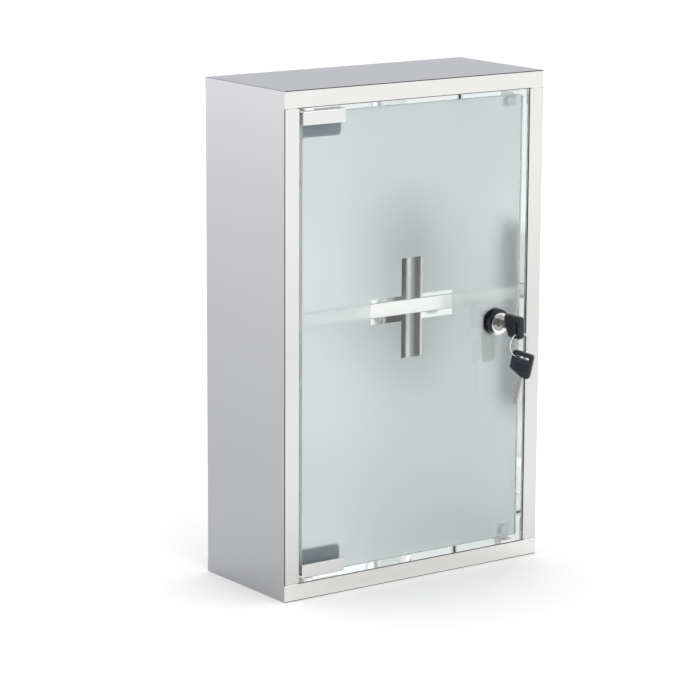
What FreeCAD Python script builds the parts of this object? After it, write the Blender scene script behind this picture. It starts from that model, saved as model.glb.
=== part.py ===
import FreeCAD, Part
import math
import os
import re
import Sketcher

# Wall cabinet of folded sheet steel with a frosted glass door, a cam lock and two keys on a ring.
# Frame: X to the right, Y to the back, Z up. The origin is the centre of the base's footprint.

# Driving sizes in millimetres, and angles in degrees.
SIZES = {
    # Folded shell
    "cabinet_width": 250,
    "cabinet_depth": 110,
    "cabinet_height": 400,
    "sheet": 1.2,
    "bend_radius": 0.8,
    "rail_width": 14,
    "lip_depth": 15,
    "rear_hem": 10,
    # Wall holes in the back
    "wall_hole": 6,
    "wall_hole_span": 150,
    "wall_hole_rise": 300,
    # Shelf and its side angles
    "shelf_level": 225,
    "shelf_front_height": 12,
    "shelf_hem": 6,
    "shelf_setback": 0.3,
    "support_leg": 10,
    # Glass door
    "glass_thickness": 5,
    "door_recess": 3,
    "door_side_gap": 4,
    "glass_corner_radius": 2,
    # Pivot hinges at the left corners of the door
    "pivot_inset": 24,
    "pivot_gap": 2.5,
    "pivot_diameter": 5,
    "pivot_reach": 4,
    "pivot_fit": 0.05,
    "running_clearance": 0.3,
    "bush_wall": 1.5,
    "bush_flange": 1.2,
    "clamp_length": 39,
    "clamp_sheet": 1.5,
    "clamp_bend_radius": 1.2,
    "clamp_front_height": 11,
    "clamp_rear_height": 22,
    "clamp_corner_radius": 4,
    "glass_edge_clearance": 0.5,
    "clamp_pad": 0.5,
    "pressure_sheet": 1.2,
    "pressure_inset": 1,
    "screw_play": 0.3,
    "screw_diameter": 4,
    "screw_spacing": 18,
    "screw_head_height": 1.6,
    "screw_slot_width": 0.8,
    "screw_slot_depth": 0.9,
    # Stops at the free corners of the door
    "stop_inset": 27,
    "stop_width": 12,
    "stop_drop": 14,
    "stop_sheet": 1.2,
    "stop_foot": 9,
    "stop_pad_diameter": 8,
    "stop_pad_thickness": 3,
    "stop_pad_dome": 0.8,
    # Cam lock through the glass
    "lock_inset": 41.5,
    "lock_level": 199,
    "rosette_diameter": 22,
    "rosette_height": 3.6,
    "rosette_edge": 1.6,
    "rosette_crest_diameter": 17.0,
    "gasket_thickness": 0.4,
    "barrel_diameter": 16,
    "barrel_clearance": 0.3,
    "washer_thickness": 1,
    "nut_thickness": 4,
    "nut_flats": 22,
    "plug_diameter": 11,
    "plug_fit": 0.05,
    "plug_flange_diameter": 12.8,
    "plug_flange": 1.1,
    "plug_recess": 0.6,
    "plug_shoulder": 1.4,
    "keyway_end_gap": 0.4,
    "keyway_clearance": 0.1,
    "tail_width": 7,
    "cam_gap": 0.4,
    "cam_thickness": 2,
    "cam_reach": 34,
    "cam_root_width": 14,
    "cam_tip_width": 11,
    "cam_corner_radius": 4,
    "cam_screw_diameter": 3.5,
    "cam_screw_length": 2.8,
    "cam_screw_head_diameter": 10,
    "cam_screw_head": 2.2,
    # Keys
    "key_stand_off": 12,
    "key_length": 23,
    "key_width": 6,
    "key_thickness": 2,
    "key_tang": 8,
    "key_tip": 2,
    "key_groove_width": 1.2,
    "key_groove_depth": 0.4,
    "notch_depth": 1.2,
    "notch_spacing": 3.2,
    "notch_first": 8,
    "head_length": 20.5,
    "head_width": 18,
    "head_thickness": 5,
    "head_shoulder_across": 11.7,
    "head_shoulder_along": 5.5,
    "head_corner_radius": 2.5,
    "head_edge_bevel": 0.7,
    "head_recess": 0.5,
    "head_rim": 2.2,
    "slot_inset": 4.5,
    "slot_width": 2.6,
    "slot_length": 12,
    "slot_end_play": 0.5,
    # Wire ring and how the spare key hangs on it
    "ring_radius": 9.5,
    "wire_diameter": 1.1,
    "ring_shift": 1.2,
    "ring_opening_angle": 4,
    "spare_turn_angle": 30,
    "spare_lean_angle": 12,
}

NOTCH_COUNT = 4
WIRE_SIDES = 8
LEFT = -1
RIGHT = 1
UPPER = "upper"
LOWER = "lower"
ENDS = (UPPER, LOWER)
NEARNESS_SHARE = 1e-6
ROUND_TURN = 360
RIGHT_ANGLE = 90
HALF_TURN = 180

# Places worked out from the sizes, each measured along one axis.
HALF_WIDTH = "(cabinet_width / 2)"
FRONT = "(-cabinet_depth / 2)"
REAR = "(cabinet_depth / 2)"
BACK_FACE = f"({REAR} - 2 * sheet)"
LIP_REAR = f"({FRONT} + lip_depth)"
SHELF_FRONT = f"({LIP_REAR} + shelf_setback)"
GLASS_FRONT = f"({FRONT} + door_recess)"
GLASS_BACK = f"({GLASS_FRONT} + glass_thickness)"
GLASS_HALF_WIDTH = f"({HALF_WIDTH} - rail_width - door_side_gap)"
PIVOT_X = f"(pivot_inset - {HALF_WIDTH})"
PIVOT_Y = f"({GLASS_FRONT} + glass_thickness / 2)"
CLAMP_FACE = "(rail_width + pivot_gap)"
CLAMP_INNER = f"({CLAMP_FACE} + clamp_sheet)"
GLASS_EDGE = f"({CLAMP_INNER} + glass_edge_clearance)"
CLAMP_REAR = f"({GLASS_BACK} + clamp_pad + pressure_sheet + screw_play)"
SCREW_DROP = f"({CLAMP_INNER} + (clamp_rear_height - clamp_sheet) / 2)"
BUSH_RADIUS = "(pivot_diameter / 2 + pivot_fit + bush_wall)"
LOCK_X = f"({HALF_WIDTH} - lock_inset)"
CAM_FRONT = "(lip_depth - door_recess + cam_gap)"
CAM_REAR = f"({CAM_FRONT} + cam_thickness)"
BARREL_END = f"({CAM_FRONT} - plug_shoulder)"
PLUG_FACE = "(plug_recess - rosette_height)"
KEY_TIP = "(key_length - key_stand_off)"
RING_X = f"({LOCK_X} + ring_shift)"
RING_Y = f"({GLASS_FRONT} - key_stand_off - head_length + slot_inset)"
RING_SAG = "(ring_radius - sqrt(ring_radius ^ 2 - (head_thickness / 2 + ring_shift) ^ 2))"
RING_TOP = f"(lock_level - slot_length / 2 + wire_diameter / 2 + {RING_SAG} + running_clearance)"

doc = FreeCAD.newDocument("Cabinet")
sheet = doc.addObject("Spreadsheet::Sheet", "Sizes")
pieces = []


def fill_sheet():
    """Write every driving size into the sheet under its own alias."""
    for row, (name, value) in enumerate(SIZES.items(), 1):
        sheet.set(f"A{row}", name)
        sheet.set(f"B{row}", str(value))
        sheet.setAlias(f"B{row}", name)
    doc.recompute()


def bind(thing, property_name, text):
    """Tie a property to an expression in which each size stands for its cell."""
    cells = re.sub(r"[a-z_]+", lambda word: "Sizes." + word[0] if word[0] in SIZES else word[0], text)
    thing.setExpression(property_name, cells)


def put(thing, across="0", deep="0", up="0"):
    """Bind the place of a piece."""
    for axis, text in zip("xyz", (across, deep, up)):
        if text != "0":
            bind(thing, "Placement.Base." + axis, text)


def new_body(label, across="0", deep="0", up="0", turn=FreeCAD.Rotation()):
    """A body of its own, turned and put in place."""
    body = doc.addObject("PartDesign::Body", label)
    body.Label = label
    body.Placement = FreeCAD.Placement(FreeCAD.Vector(), turn)
    put(body, across, deep, up)
    return body


def keep(thing):
    """Mark a finished sub-part for writing out."""
    pieces.append(thing)
    return thing


def new_sketch(body, role, offset="0"):
    """A sketch on one of the body's origin planes, moved along the plane's normal."""
    sketch = body.newObject("Sketcher::SketchObject", body.Name + "_outline")
    plane = next(feature for feature in body.Origin.OriginFeatures if feature.Role == role)
    sketch.AttachmentSupport = (plane, [""])
    sketch.MapMode = "FlatFace"
    if offset != "0":
        bind(sketch, "AttachmentOffset.Base.z", offset)
    return sketch


def locate(sketch, geometry, point, across, up, start):
    """Fix one point of a sketch by its two distances from the origin."""
    for kind, text, value in (("DistanceX", across, start.x), ("DistanceY", up, start.y)):
        index = sketch.addConstraint(Sketcher.Constraint(kind, -1, 1, geometry, point, value))
        bind(sketch, f"Constraints[{index}]", text)


def polygon(sketch, corners):
    """A closed outline of straight sides: it starts as a regular ring, and the sizes pull it to shape."""
    first = sketch.GeometryCount
    count = len(corners)
    steps = [2 * math.pi * step / count for step in range(count)]
    ring = [FreeCAD.Vector(math.cos(step), math.sin(step), 0) for step in steps]
    for index in range(count):
        sketch.addGeometry(Part.LineSegment(ring[index], ring[(index + 1) % count]), False)
    for index in range(count):
        after = first + (index + 1) % count
        sketch.addConstraint(Sketcher.Constraint("Coincident", first + index, 2, after, 1))
    for index, (across, up) in enumerate(corners):
        locate(sketch, first + index, 1, across, up, ring[index])


def rectangle(sketch, left, right, bottom, top):
    """A closed outline with four square corners."""
    polygon(sketch, [(left, bottom), (right, bottom), (right, top), (left, top)])


def circle(sketch, across, up, diameter):
    """A round outline."""
    centre = FreeCAD.Vector()
    index = sketch.addGeometry(Part.Circle(centre, FreeCAD.Vector(0, 0, 1), 1), False)
    locate(sketch, index, 3, across, up, centre)
    size = sketch.addConstraint(Sketcher.Constraint("Diameter", index, 2))
    bind(sketch, f"Constraints[{size}]", diameter)


def upright_slot(sketch, across, width, length):
    """A slot with round ends that stands across the sketch's level axis."""
    straight = f"({length} - {width}) / 2"
    for side in (LEFT, RIGHT):
        foot = FreeCAD.Vector(side, LEFT, 0)
        head = FreeCAD.Vector(side, RIGHT, 0)
        sketch.addGeometry(Part.LineSegment(foot, head), False)
    for side in (LEFT, RIGHT):
        round_end = Part.Circle(FreeCAD.Vector(0, side, 0), FreeCAD.Vector(0, 0, 1), 1)
        first = math.pi if side == LEFT else 0
        sketch.addGeometry(Part.ArcOfCircle(round_end, first, first + math.pi), False)
    left_line, right_line, low_arc, high_arc = range(4)
    for arc, arc_end, line, line_end in (
        (low_arc, 1, left_line, 1),
        (low_arc, 2, right_line, 1),
        (high_arc, 1, right_line, 2),
        (high_arc, 2, left_line, 2),
    ):
        sketch.addConstraint(Sketcher.Constraint("Coincident", arc, arc_end, line, line_end))
    for side, line in ((LEFT, left_line), (RIGHT, right_line)):
        for up_side, line_end in ((LEFT, 1), (RIGHT, 2)):
            corner = FreeCAD.Vector(side, up_side, 0)
            place = f"{across} + {side} * {width} / 2"
            locate(sketch, line, line_end, place, f"{up_side} * {straight}", corner)
    for side, arc in ((LEFT, low_arc), (RIGHT, high_arc)):
        index = sketch.addConstraint(Sketcher.Constraint("DistanceY", -1, 1, arc, 3, side))
        bind(sketch, f"Constraints[{index}]", f"{side} * {straight}")


def pad(body, sketch, length, both_ways=False):
    """Raise an outline along its plane's normal, or half to each side."""
    feature = body.newObject("PartDesign::Pad", body.Name + "_pad")
    feature.Profile = sketch
    feature.Midplane = both_ways
    bind(feature, "Length", length)
    doc.recompute()
    return feature


def pocket(body, sketch, depth, both_ways=False, outward=False):
    """Cut an outline against its plane's normal, or along it when outward."""
    feature = body.newObject("PartDesign::Pocket", body.Name + "_pocket")
    feature.Profile = sketch
    feature.Midplane = both_ways
    feature.Reversed = outward
    bind(feature, "Length", depth)
    doc.recompute()
    return feature


def revolve(body, sketch, angle=str(ROUND_TURN)):
    """Turn an outline about the sketch's upright axis, all the way round unless an angle is given."""
    feature = body.newObject("PartDesign::Revolution", body.Name + "_turned")
    feature.Profile = sketch
    feature.ReferenceAxis = (sketch, ["V_Axis"])
    bind(feature, "Angle", angle)
    doc.recompute()
    return feature


def edges_at(body, along, **ends):
    """Names of the straight edges along one axis that lie at the given ends of the piece's box."""
    shape = body.Tip.Shape
    box = shape.BoundBox
    nearness = box.DiagonalLength * NEARNESS_SHARE
    names = []
    for number, edge in enumerate(shape.Edges, 1):
        start = edge.firstVertex().Point
        end = edge.lastVertex().Point
        fixed = [axis for axis in "xyz" if axis != along]
        if any(abs(getattr(start, axis) - getattr(end, axis)) > nearness for axis in fixed):
            continue
        places = {axis: getattr(box, axis.upper() + ends[axis].title()) for axis in ends}
        if all(abs(getattr(start, axis) - place) < nearness for axis, place in places.items()):
            names.append(f"Edge{number}")
    return names


def face_edges(body, axis):
    """Names of the edges that lie in the two end faces of the piece's box along one axis."""
    shape = body.Tip.Shape
    box = shape.BoundBox
    nearness = box.DiagonalLength * NEARNESS_SHARE
    planes = [getattr(box, axis.upper() + end) for end in ("Min", "Max")]
    names = []
    for number, edge in enumerate(shape.Edges, 1):
        points = [edge.firstVertex().Point, edge.lastVertex().Point, edge.CenterOfMass]
        if any(all(abs(getattr(point, axis) - plane) < nearness for point in points) for plane in planes):
            names.append(f"Edge{number}")
    return names


def dress_edges(body, kind, names, property_name, text):
    """Round or bevel the named edges of the piece as it stands."""
    base = body.Tip
    feature = body.newObject("PartDesign::" + kind, body.Name + "_" + kind.lower())
    feature.Base = (base, names)
    bind(feature, property_name, text)
    doc.recompute()


def round_at(body, radius, along, *places):
    """Round the edges along one axis at each of these ends of the piece's box, one place after another."""
    for place in places:
        dress_edges(body, "Fillet", edges_at(body, along, **place), "Radius", radius)


def from_end(end, distance):
    """A level at this distance from the top or the bottom of the cabinet."""
    return f"(cabinet_height - {distance})" if end == UPPER else f"({distance})"


def outermost(end):
    """Which end of a piece's box lies nearest to the top or the bottom of the cabinet."""
    return "max" if end == UPPER else "min"


def innermost(end):
    """Which end of a piece's box lies furthest from the top or the bottom of the cabinet."""
    return "min" if end == UPPER else "max"


def end_turn(end):
    """Turned bodies at the bottom are those of the top, upside down."""
    return FreeCAD.Rotation(FreeCAD.Vector(1, 0, 0), 0 if end == UPPER else HALF_TURN)


def side_panel(label, side):
    """A side wall with its front flange, return lip and rear hem, between the top and bottom sheets."""
    body = new_body(label)

    def inward(distance):
        return f"({side} * ({HALF_WIDTH} - {distance}))"

    wall = new_sketch(body, "XY_Plane", "sheet")
    rectangle(wall, inward("0"), inward("sheet"), f"{FRONT} + sheet", f"{REAR} - sheet")
    pad(body, wall, "cabinet_height - 2 * sheet")
    flange = new_sketch(body, "XY_Plane", "rail_width")
    polygon(flange, [
        (inward("0"), FRONT),
        (inward("0"), f"{FRONT} + sheet"),
        (inward("(rail_width - sheet)"), f"{FRONT} + sheet"),
        (inward("(rail_width - sheet)"), LIP_REAR),
        (inward("rail_width"), LIP_REAR),
        (inward("rail_width"), FRONT),
    ])
    pad(body, flange, "cabinet_height - 2 * rail_width")
    hem = new_sketch(body, "XY_Plane", "rear_hem")
    rectangle(hem, inward("0"), inward("rear_hem"), f"{REAR} - sheet", REAR)
    pad(body, hem, "cabinet_height - 2 * rear_hem")
    outer = "max" if side == RIGHT else "min"
    inner = "min" if side == RIGHT else "max"
    bends = [{"x": outer, "y": "min"}, {"x": inner, "y": "min"}, {"x": outer, "y": "max"}]
    round_at(body, "bend_radius", "z", *bends)
    return keep(body)


def end_panel(label, end):
    """The top or bottom sheet with its full-width front rail, return lip, rear hem and pivot hole."""
    body = new_body(label)
    skin = new_sketch(body, "YZ_Plane")
    polygon(skin, [
        (FRONT, from_end(end, "0")),
        (REAR, from_end(end, "0")),
        (REAR, from_end(end, "rear_hem")),
        (f"{REAR} - sheet", from_end(end, "rear_hem")),
        (f"{REAR} - sheet", from_end(end, "sheet")),
        (f"{FRONT} + sheet", from_end(end, "sheet")),
        (f"{FRONT} + sheet", from_end(end, "rail_width")),
        (FRONT, from_end(end, "rail_width")),
    ])
    pad(body, skin, "cabinet_width", both_ways=True)
    lip = new_sketch(body, "YZ_Plane")
    inner_edge = from_end(end, "rail_width")
    rectangle(lip, f"{FRONT} + sheet", LIP_REAR, from_end(end, "(rail_width - sheet)"), inner_edge)
    pad(body, lip, "cabinet_width - 2 * sheet", both_ways=True)
    hole_drop = "(rail_width - sheet)" if end == UPPER else "rail_width"
    hole = new_sketch(body, "XY_Plane", from_end(end, hole_drop))
    circle(hole, PIVOT_X, PIVOT_Y, f"2 * {BUSH_RADIUS}")
    pocket(body, hole, "sheet")
    far = outermost(end)
    bends = [{"y": "min", "z": far}, {"y": "max", "z": far}, {"y": "min", "z": innermost(end)}]
    round_at(body, "bend_radius", "x", *bends)
    return keep(body)


def back_panel():
    """The back sheet inside the rear hems, with four round holes for wall screws."""
    body = new_body("back_panel")
    outline = new_sketch(body, "XZ_Plane", f"sheet - {REAR}")
    inner_half = f"({HALF_WIDTH} - sheet)"
    rectangle(outline, f"-{inner_half}", inner_half, "sheet", "cabinet_height - sheet")
    for side in (LEFT, RIGHT):
        for step in (LEFT, RIGHT):
            rise = f"cabinet_height / 2 + {step} * wall_hole_rise / 2"
            circle(outline, f"{side} * wall_hole_span / 2", rise, "wall_hole")
    pad(body, outline, "sheet")
    return keep(body)


def shelf():
    """The shelf with its deep front edge and the hem turned under it."""
    body = new_body("shelf")
    profile = new_sketch(body, "YZ_Plane")
    polygon(profile, [
        (SHELF_FRONT, "shelf_level"),
        (BACK_FACE, "shelf_level"),
        (BACK_FACE, "shelf_level - sheet"),
        (f"{SHELF_FRONT} + sheet", "shelf_level - sheet"),
        (f"{SHELF_FRONT} + sheet", "shelf_level - shelf_front_height + sheet"),
        (f"{SHELF_FRONT} + shelf_hem", "shelf_level - shelf_front_height + sheet"),
        (f"{SHELF_FRONT} + shelf_hem", "shelf_level - shelf_front_height"),
        (SHELF_FRONT, "shelf_level - shelf_front_height"),
    ])
    pad(body, profile, "cabinet_width - 2 * sheet", both_ways=True)
    round_at(body, "bend_radius", "x", {"y": "min", "z": "max"}, {"y": "min", "z": "min"})
    return keep(body)


def shelf_support(label, side):
    """An angle along a side wall that carries the shelf from below."""
    body = new_body(label)
    under = "(shelf_level - sheet)"

    def inward(distance):
        return f"({side} * ({HALF_WIDTH} - sheet - {distance}))"

    profile = new_sketch(body, "XZ_Plane", f"-{BACK_FACE}")
    polygon(profile, [
        (inward("0"), under),
        (inward("0"), f"{under} - support_leg"),
        (inward("sheet"), f"{under} - support_leg"),
        (inward("sheet"), f"{under} - sheet"),
        (inward("support_leg"), f"{under} - sheet"),
        (inward("support_leg"), under),
    ])
    pad(body, profile, f"{BACK_FACE} - {SHELF_FRONT} - 2 * shelf_hem")
    return keep(body)


def door_stop(label, end):
    """A small angle behind the door's free corner, its foot on the rail's return lip."""
    body = new_body(label, across=f"{HALF_WIDTH} - stop_inset")
    leg_front = f"({GLASS_BACK} + running_clearance + stop_pad_thickness)"
    leg_rear = f"({leg_front} + stop_sheet)"
    profile = new_sketch(body, "YZ_Plane")
    polygon(profile, [
        (leg_rear, from_end(end, "rail_width")),
        (leg_rear, from_end(end, "(rail_width + stop_drop)")),
        (leg_front, from_end(end, "(rail_width + stop_drop)")),
        (leg_front, from_end(end, "(rail_width + stop_sheet)")),
        (f"{leg_rear} - stop_foot", from_end(end, "(rail_width + stop_sheet)")),
        (f"{leg_rear} - stop_foot", from_end(end, "rail_width")),
    ])
    pad(body, profile, "stop_width", both_ways=True)
    round_at(body, "bend_radius", "x", {"y": "max", "z": outermost(end)})
    return keep(body)


def group(label, members):
    """Like pieces that share one name stay separate solids."""
    joined = doc.addObject("Part::Compound", label)
    joined.Label = label
    joined.Links = members
    return keep(joined)


def stop_pad(label, end):
    """A domed rubber button on the front of a door stop."""
    body = new_body(
        label,
        across=f"{HALF_WIDTH} - stop_inset",
        deep=f"{GLASS_BACK} + running_clearance",
        up=from_end(end, "(rail_width + stop_drop - stop_pad_diameter / 2 - stop_pad_dome)"),
    )
    section = new_sketch(body, "XY_Plane")
    polygon(section, [
        ("0", "0"),
        ("stop_pad_diameter / 2 - stop_pad_dome", "0"),
        ("stop_pad_diameter / 2", "stop_pad_dome"),
        ("stop_pad_diameter / 2", "stop_pad_thickness"),
        ("0", "stop_pad_thickness"),
    ])
    revolve(body, section)
    return body


def pivot_bush(label, end):
    """A flanged bush pressed into the rail's lip; the flange keeps the clamp off the rail."""
    body = new_body(label, PIVOT_X, PIVOT_Y, from_end(end, "rail_width"), end_turn(end))
    section = new_sketch(body, "XZ_Plane")
    polygon(section, [
        ("pivot_diameter / 2 + pivot_fit", "running_clearance - pivot_gap"),
        (f"{BUSH_RADIUS} + bush_flange", "running_clearance - pivot_gap"),
        (f"{BUSH_RADIUS} + bush_flange", "0"),
        (BUSH_RADIUS, "0"),
        (BUSH_RADIUS, "pivot_reach"),
        ("pivot_diameter / 2 + pivot_fit", "pivot_reach"),
    ])
    revolve(body, section)
    return keep(body)


def pivot_pin(label, end):
    """The pin riveted into the clamp's web, running in the rail's bush."""
    body = new_body(label, PIVOT_X, PIVOT_Y, from_end(end, "rail_width"), end_turn(end))
    section = new_sketch(body, "XZ_Plane")
    polygon(section, [
        ("0", "-pivot_gap - clamp_sheet"),
        ("pivot_diameter / 2", "-pivot_gap - clamp_sheet"),
        ("pivot_diameter / 2", "pivot_reach - running_clearance"),
        ("pivot_diameter / 2 - running_clearance", "pivot_reach"),
        ("0", "pivot_reach"),
    ])
    revolve(body, section)
    return keep(body)


def glass_door():
    """The glass pane with rounded corners and the hole for the lock."""
    body = new_body("glass_door")
    outline = new_sketch(body, "XZ_Plane", f"-{GLASS_BACK}")
    top = from_end(UPPER, GLASS_EDGE)
    rectangle(outline, f"-{GLASS_HALF_WIDTH}", GLASS_HALF_WIDTH, GLASS_EDGE, top)
    circle(outline, LOCK_X, "lock_level", "barrel_diameter + 2 * barrel_clearance")
    pad(body, outline, "glass_thickness")
    corners = [{"x": across, "z": up} for across in ("min", "max") for up in ("min", "max")]
    round_at(body, "glass_corner_radius", "y", *corners)
    return keep(body)


def hinge_clamp(label, end):
    """A folded clamp over the glass edge: short face in front, tall face with screws behind."""
    body = new_body(label)
    face_end = from_end(end, f"({CLAMP_FACE} + clamp_front_height)")
    rear_end = from_end(end, f"({CLAMP_FACE} + clamp_rear_height)")
    profile = new_sketch(body, "YZ_Plane", f"-{GLASS_HALF_WIDTH}")
    polygon(profile, [
        (f"{GLASS_FRONT} - clamp_pad - clamp_sheet", from_end(end, CLAMP_FACE)),
        (f"{CLAMP_REAR} + clamp_sheet", from_end(end, CLAMP_FACE)),
        (f"{CLAMP_REAR} + clamp_sheet", rear_end),
        (CLAMP_REAR, rear_end),
        (CLAMP_REAR, from_end(end, CLAMP_INNER)),
        (f"{GLASS_FRONT} - clamp_pad", from_end(end, CLAMP_INNER)),
        (f"{GLASS_FRONT} - clamp_pad", face_end),
        (f"{GLASS_FRONT} - clamp_pad - clamp_sheet", face_end),
    ])
    pad(body, profile, "clamp_length")
    far = outermost(end)
    near = innermost(end)
    round_at(body, "clamp_bend_radius", "x", {"y": "min", "z": far}, {"y": "max", "z": far})
    round_at(body, "clamp_corner_radius", "y", {"x": "min", "z": near}, {"x": "max", "z": near})
    pivot_hole = new_sketch(body, "XY_Plane", from_end(end, CLAMP_FACE if end == UPPER else CLAMP_INNER))
    circle(pivot_hole, PIVOT_X, PIVOT_Y, "pivot_diameter")
    pocket(body, pivot_hole, "clamp_sheet")
    screw_holes = new_sketch(body, "XZ_Plane", f"-{CLAMP_REAR}")
    for side in (LEFT, RIGHT):
        circle(screw_holes, screw_place(side), from_end(end, SCREW_DROP), "screw_diameter")
    pocket(body, screw_holes, "clamp_sheet")
    return keep(body)


def screw_place(side):
    """Where a clamp's screw stands along the clamp."""
    return f"({side} * screw_spacing / 2 + clamp_length / 2 - {GLASS_HALF_WIDTH})"


def slab(label, end, near, far, nearest, furthest, shorten="0"):
    """A flat layer of a clamp: from one depth to another, and from one distance off the end to another."""
    body = new_body(label)
    outline = new_sketch(body, "XZ_Plane", f"-({far})")
    left = f"{shorten} - {GLASS_HALF_WIDTH}"
    right = f"clamp_length - {shorten} - {GLASS_HALF_WIDTH}"
    rectangle(outline, left, right, from_end(end, nearest), from_end(end, furthest))
    pad(body, outline, f"({far}) - ({near})")
    return keep(body)


def clamp_layers(end):
    """The soft pads on both faces of the glass and the plate that the screws press on."""
    face_end = f"({CLAMP_FACE} + clamp_front_height)"
    rear_end = f"({CLAMP_FACE} + clamp_rear_height - pressure_inset)"
    pad_back = f"({GLASS_BACK} + clamp_pad)"
    slab(f"{end}_front_pad", end, f"{GLASS_FRONT} - clamp_pad", GLASS_FRONT, GLASS_EDGE, face_end)
    slab(f"{end}_rear_pad", end, GLASS_BACK, pad_back, GLASS_EDGE, rear_end, "pressure_inset")
    plate_rear = f"({pad_back} + pressure_sheet)"
    slab(f"{end}_pressure_plate", end, pad_back, plate_rear, GLASS_EDGE, rear_end, "pressure_inset")


def hinge_screw(label, end, side):
    """A slotted screw through the clamp's back, its tip on the pressure plate."""
    turn = FreeCAD.Rotation(FreeCAD.Vector(1, 0, 0), -RIGHT_ANGLE)
    body = new_body(label, screw_place(side), f"{CLAMP_REAR} - screw_play", from_end(end, SCREW_DROP), turn)
    section = new_sketch(body, "XZ_Plane")
    polygon(section, [
        ("0", "0"),
        ("screw_diameter / 2", "0"),
        ("screw_diameter / 2", "screw_play + clamp_sheet"),
        ("screw_diameter", "screw_play + clamp_sheet"),
        ("screw_diameter * 3 / 4", "screw_play + clamp_sheet + screw_head_height"),
        ("0", "screw_play + clamp_sheet + screw_head_height"),
    ])
    revolve(body, section)
    slot = new_sketch(body, "XY_Plane", "screw_play + clamp_sheet + screw_head_height")
    rectangle(slot, "-screw_diameter", "screw_diameter", "-screw_slot_width / 2", "screw_slot_width / 2")
    pocket(body, slot, "screw_slot_depth")
    return body


def lock_body(label):
    """A body whose own origin is on the lock's axis at the front of the glass."""
    return new_body(label, LOCK_X, GLASS_FRONT, "lock_level")


def turned_on_lock_axis(label, corners):
    """A piece turned about the lock's axis: each corner is a radius and a depth behind the glass front."""
    body = lock_body(label)
    polygon(new_sketch(body, "XY_Plane"), corners)
    revolve(body, body.Group[-1])
    return body


def ring(label, inner, outer, front, back):
    """A flat ring on the lock's axis."""
    corners = [(inner, front), (outer, front), (outer, back), (inner, back)]
    return keep(turned_on_lock_axis(label, corners))


def lock_housing():
    """The chrome rosette and barrel in one piece, with the seat for the plug's flange."""
    bore = "(plug_diameter / 2 + plug_fit)"
    seat = "(plug_flange_diameter / 2 + plug_fit)"
    seat_depth = f"({PLUG_FACE} + plug_flange + plug_fit)"
    return keep(turned_on_lock_axis("lock_housing", [
        (bore, seat_depth),
        (seat, seat_depth),
        (seat, "-rosette_height"),
        ("rosette_crest_diameter / 2", "-rosette_height"),
        ("rosette_diameter / 2", "-rosette_edge"),
        ("rosette_diameter / 2", "-gasket_thickness"),
        ("barrel_diameter / 2", "-gasket_thickness"),
        ("barrel_diameter / 2", BARREL_END),
        (bore, BARREL_END),
    ]))


def lock_nut():
    """The hexagon nut that draws the rosette against the glass."""
    body = lock_body("lock_nut")
    nut_front = "(glass_thickness + washer_thickness)"
    outline = new_sketch(body, "XZ_Plane", f"-{nut_front} - nut_thickness")
    tall = "nut_flats / 2 / sqrt(3)"
    polygon(outline, [
        ("nut_flats / 2", f"-{tall}"),
        ("nut_flats / 2", tall),
        ("0", f"2 * {tall}"),
        ("-nut_flats / 2", tall),
        ("-nut_flats / 2", f"-{tall}"),
        ("0", f"-2 * {tall}"),
    ])
    circle(outline, "0", "0", "barrel_diameter")
    pad(body, outline, "nut_thickness")
    return keep(body)


def lock_plug():
    """The turning plug: flange and keyway in front, square tail with a screw bore behind."""
    body = turned_on_lock_axis("lock_plug", [
        ("0", PLUG_FACE),
        ("plug_flange_diameter / 2", PLUG_FACE),
        ("plug_flange_diameter / 2", f"{PLUG_FACE} + plug_flange"),
        ("plug_diameter / 2", f"{PLUG_FACE} + plug_flange"),
        ("plug_diameter / 2", CAM_FRONT),
        ("0", CAM_FRONT),
    ])
    tail = new_sketch(body, "XZ_Plane", f"-{CAM_REAR}")
    rectangle(tail, "-tail_width / 2", "tail_width / 2", "-tail_width / 2", "tail_width / 2")
    pad(body, tail, "cam_thickness")
    keyway = new_sketch(body, "XZ_Plane", f"-{PLUG_FACE}")
    half_gap = "(key_thickness / 2 + keyway_clearance)"
    half_rise = "(key_width / 2 + keyway_clearance)"
    rectangle(keyway, f"-{half_gap}", half_gap, f"-{half_rise}", half_rise)
    pocket(body, keyway, f"{KEY_TIP} + keyway_end_gap - {PLUG_FACE}")
    bore = new_sketch(body, "XZ_Plane", f"-{CAM_REAR}")
    circle(bore, "0", "0", "cam_screw_diameter")
    pocket(body, bore, "cam_screw_length", outward=True)
    return keep(body)


def lock_cam():
    """The cam on the square tail: down when open, behind the right stile when locked."""
    body = lock_body("lock_cam")
    outline = new_sketch(body, "XZ_Plane", f"-{CAM_REAR}")
    polygon(outline, [
        ("-cam_root_width / 2", "cam_root_width / 2"),
        ("-cam_root_width / 2", "-cam_root_width / 2"),
        ("-cam_tip_width / 2", "-cam_reach"),
        ("cam_tip_width / 2", "-cam_reach"),
        ("cam_root_width / 2", "-cam_root_width / 2"),
        ("cam_root_width / 2", "cam_root_width / 2"),
    ])
    rectangle(outline, "-tail_width / 2", "tail_width / 2", "-tail_width / 2", "tail_width / 2")
    pad(body, outline, "cam_thickness")
    round_at(body, "cam_corner_radius", "y", {"z": "min"}, {"z": "max"})
    return keep(body)


def cam_screw():
    """The screw and its wide head that hold the cam on the plug."""
    return keep(turned_on_lock_axis("cam_screw", [
        ("0", f"{CAM_REAR} - cam_screw_length"),
        ("cam_screw_diameter / 2", f"{CAM_REAR} - cam_screw_length"),
        ("cam_screw_diameter / 2", CAM_REAR),
        ("cam_screw_head_diameter / 2", CAM_REAR),
        ("cam_screw_head_diameter * 2 / 5", f"{CAM_REAR} + cam_screw_head"),
        ("0", f"{CAM_REAR} + cam_screw_head"),
    ]))


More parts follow.
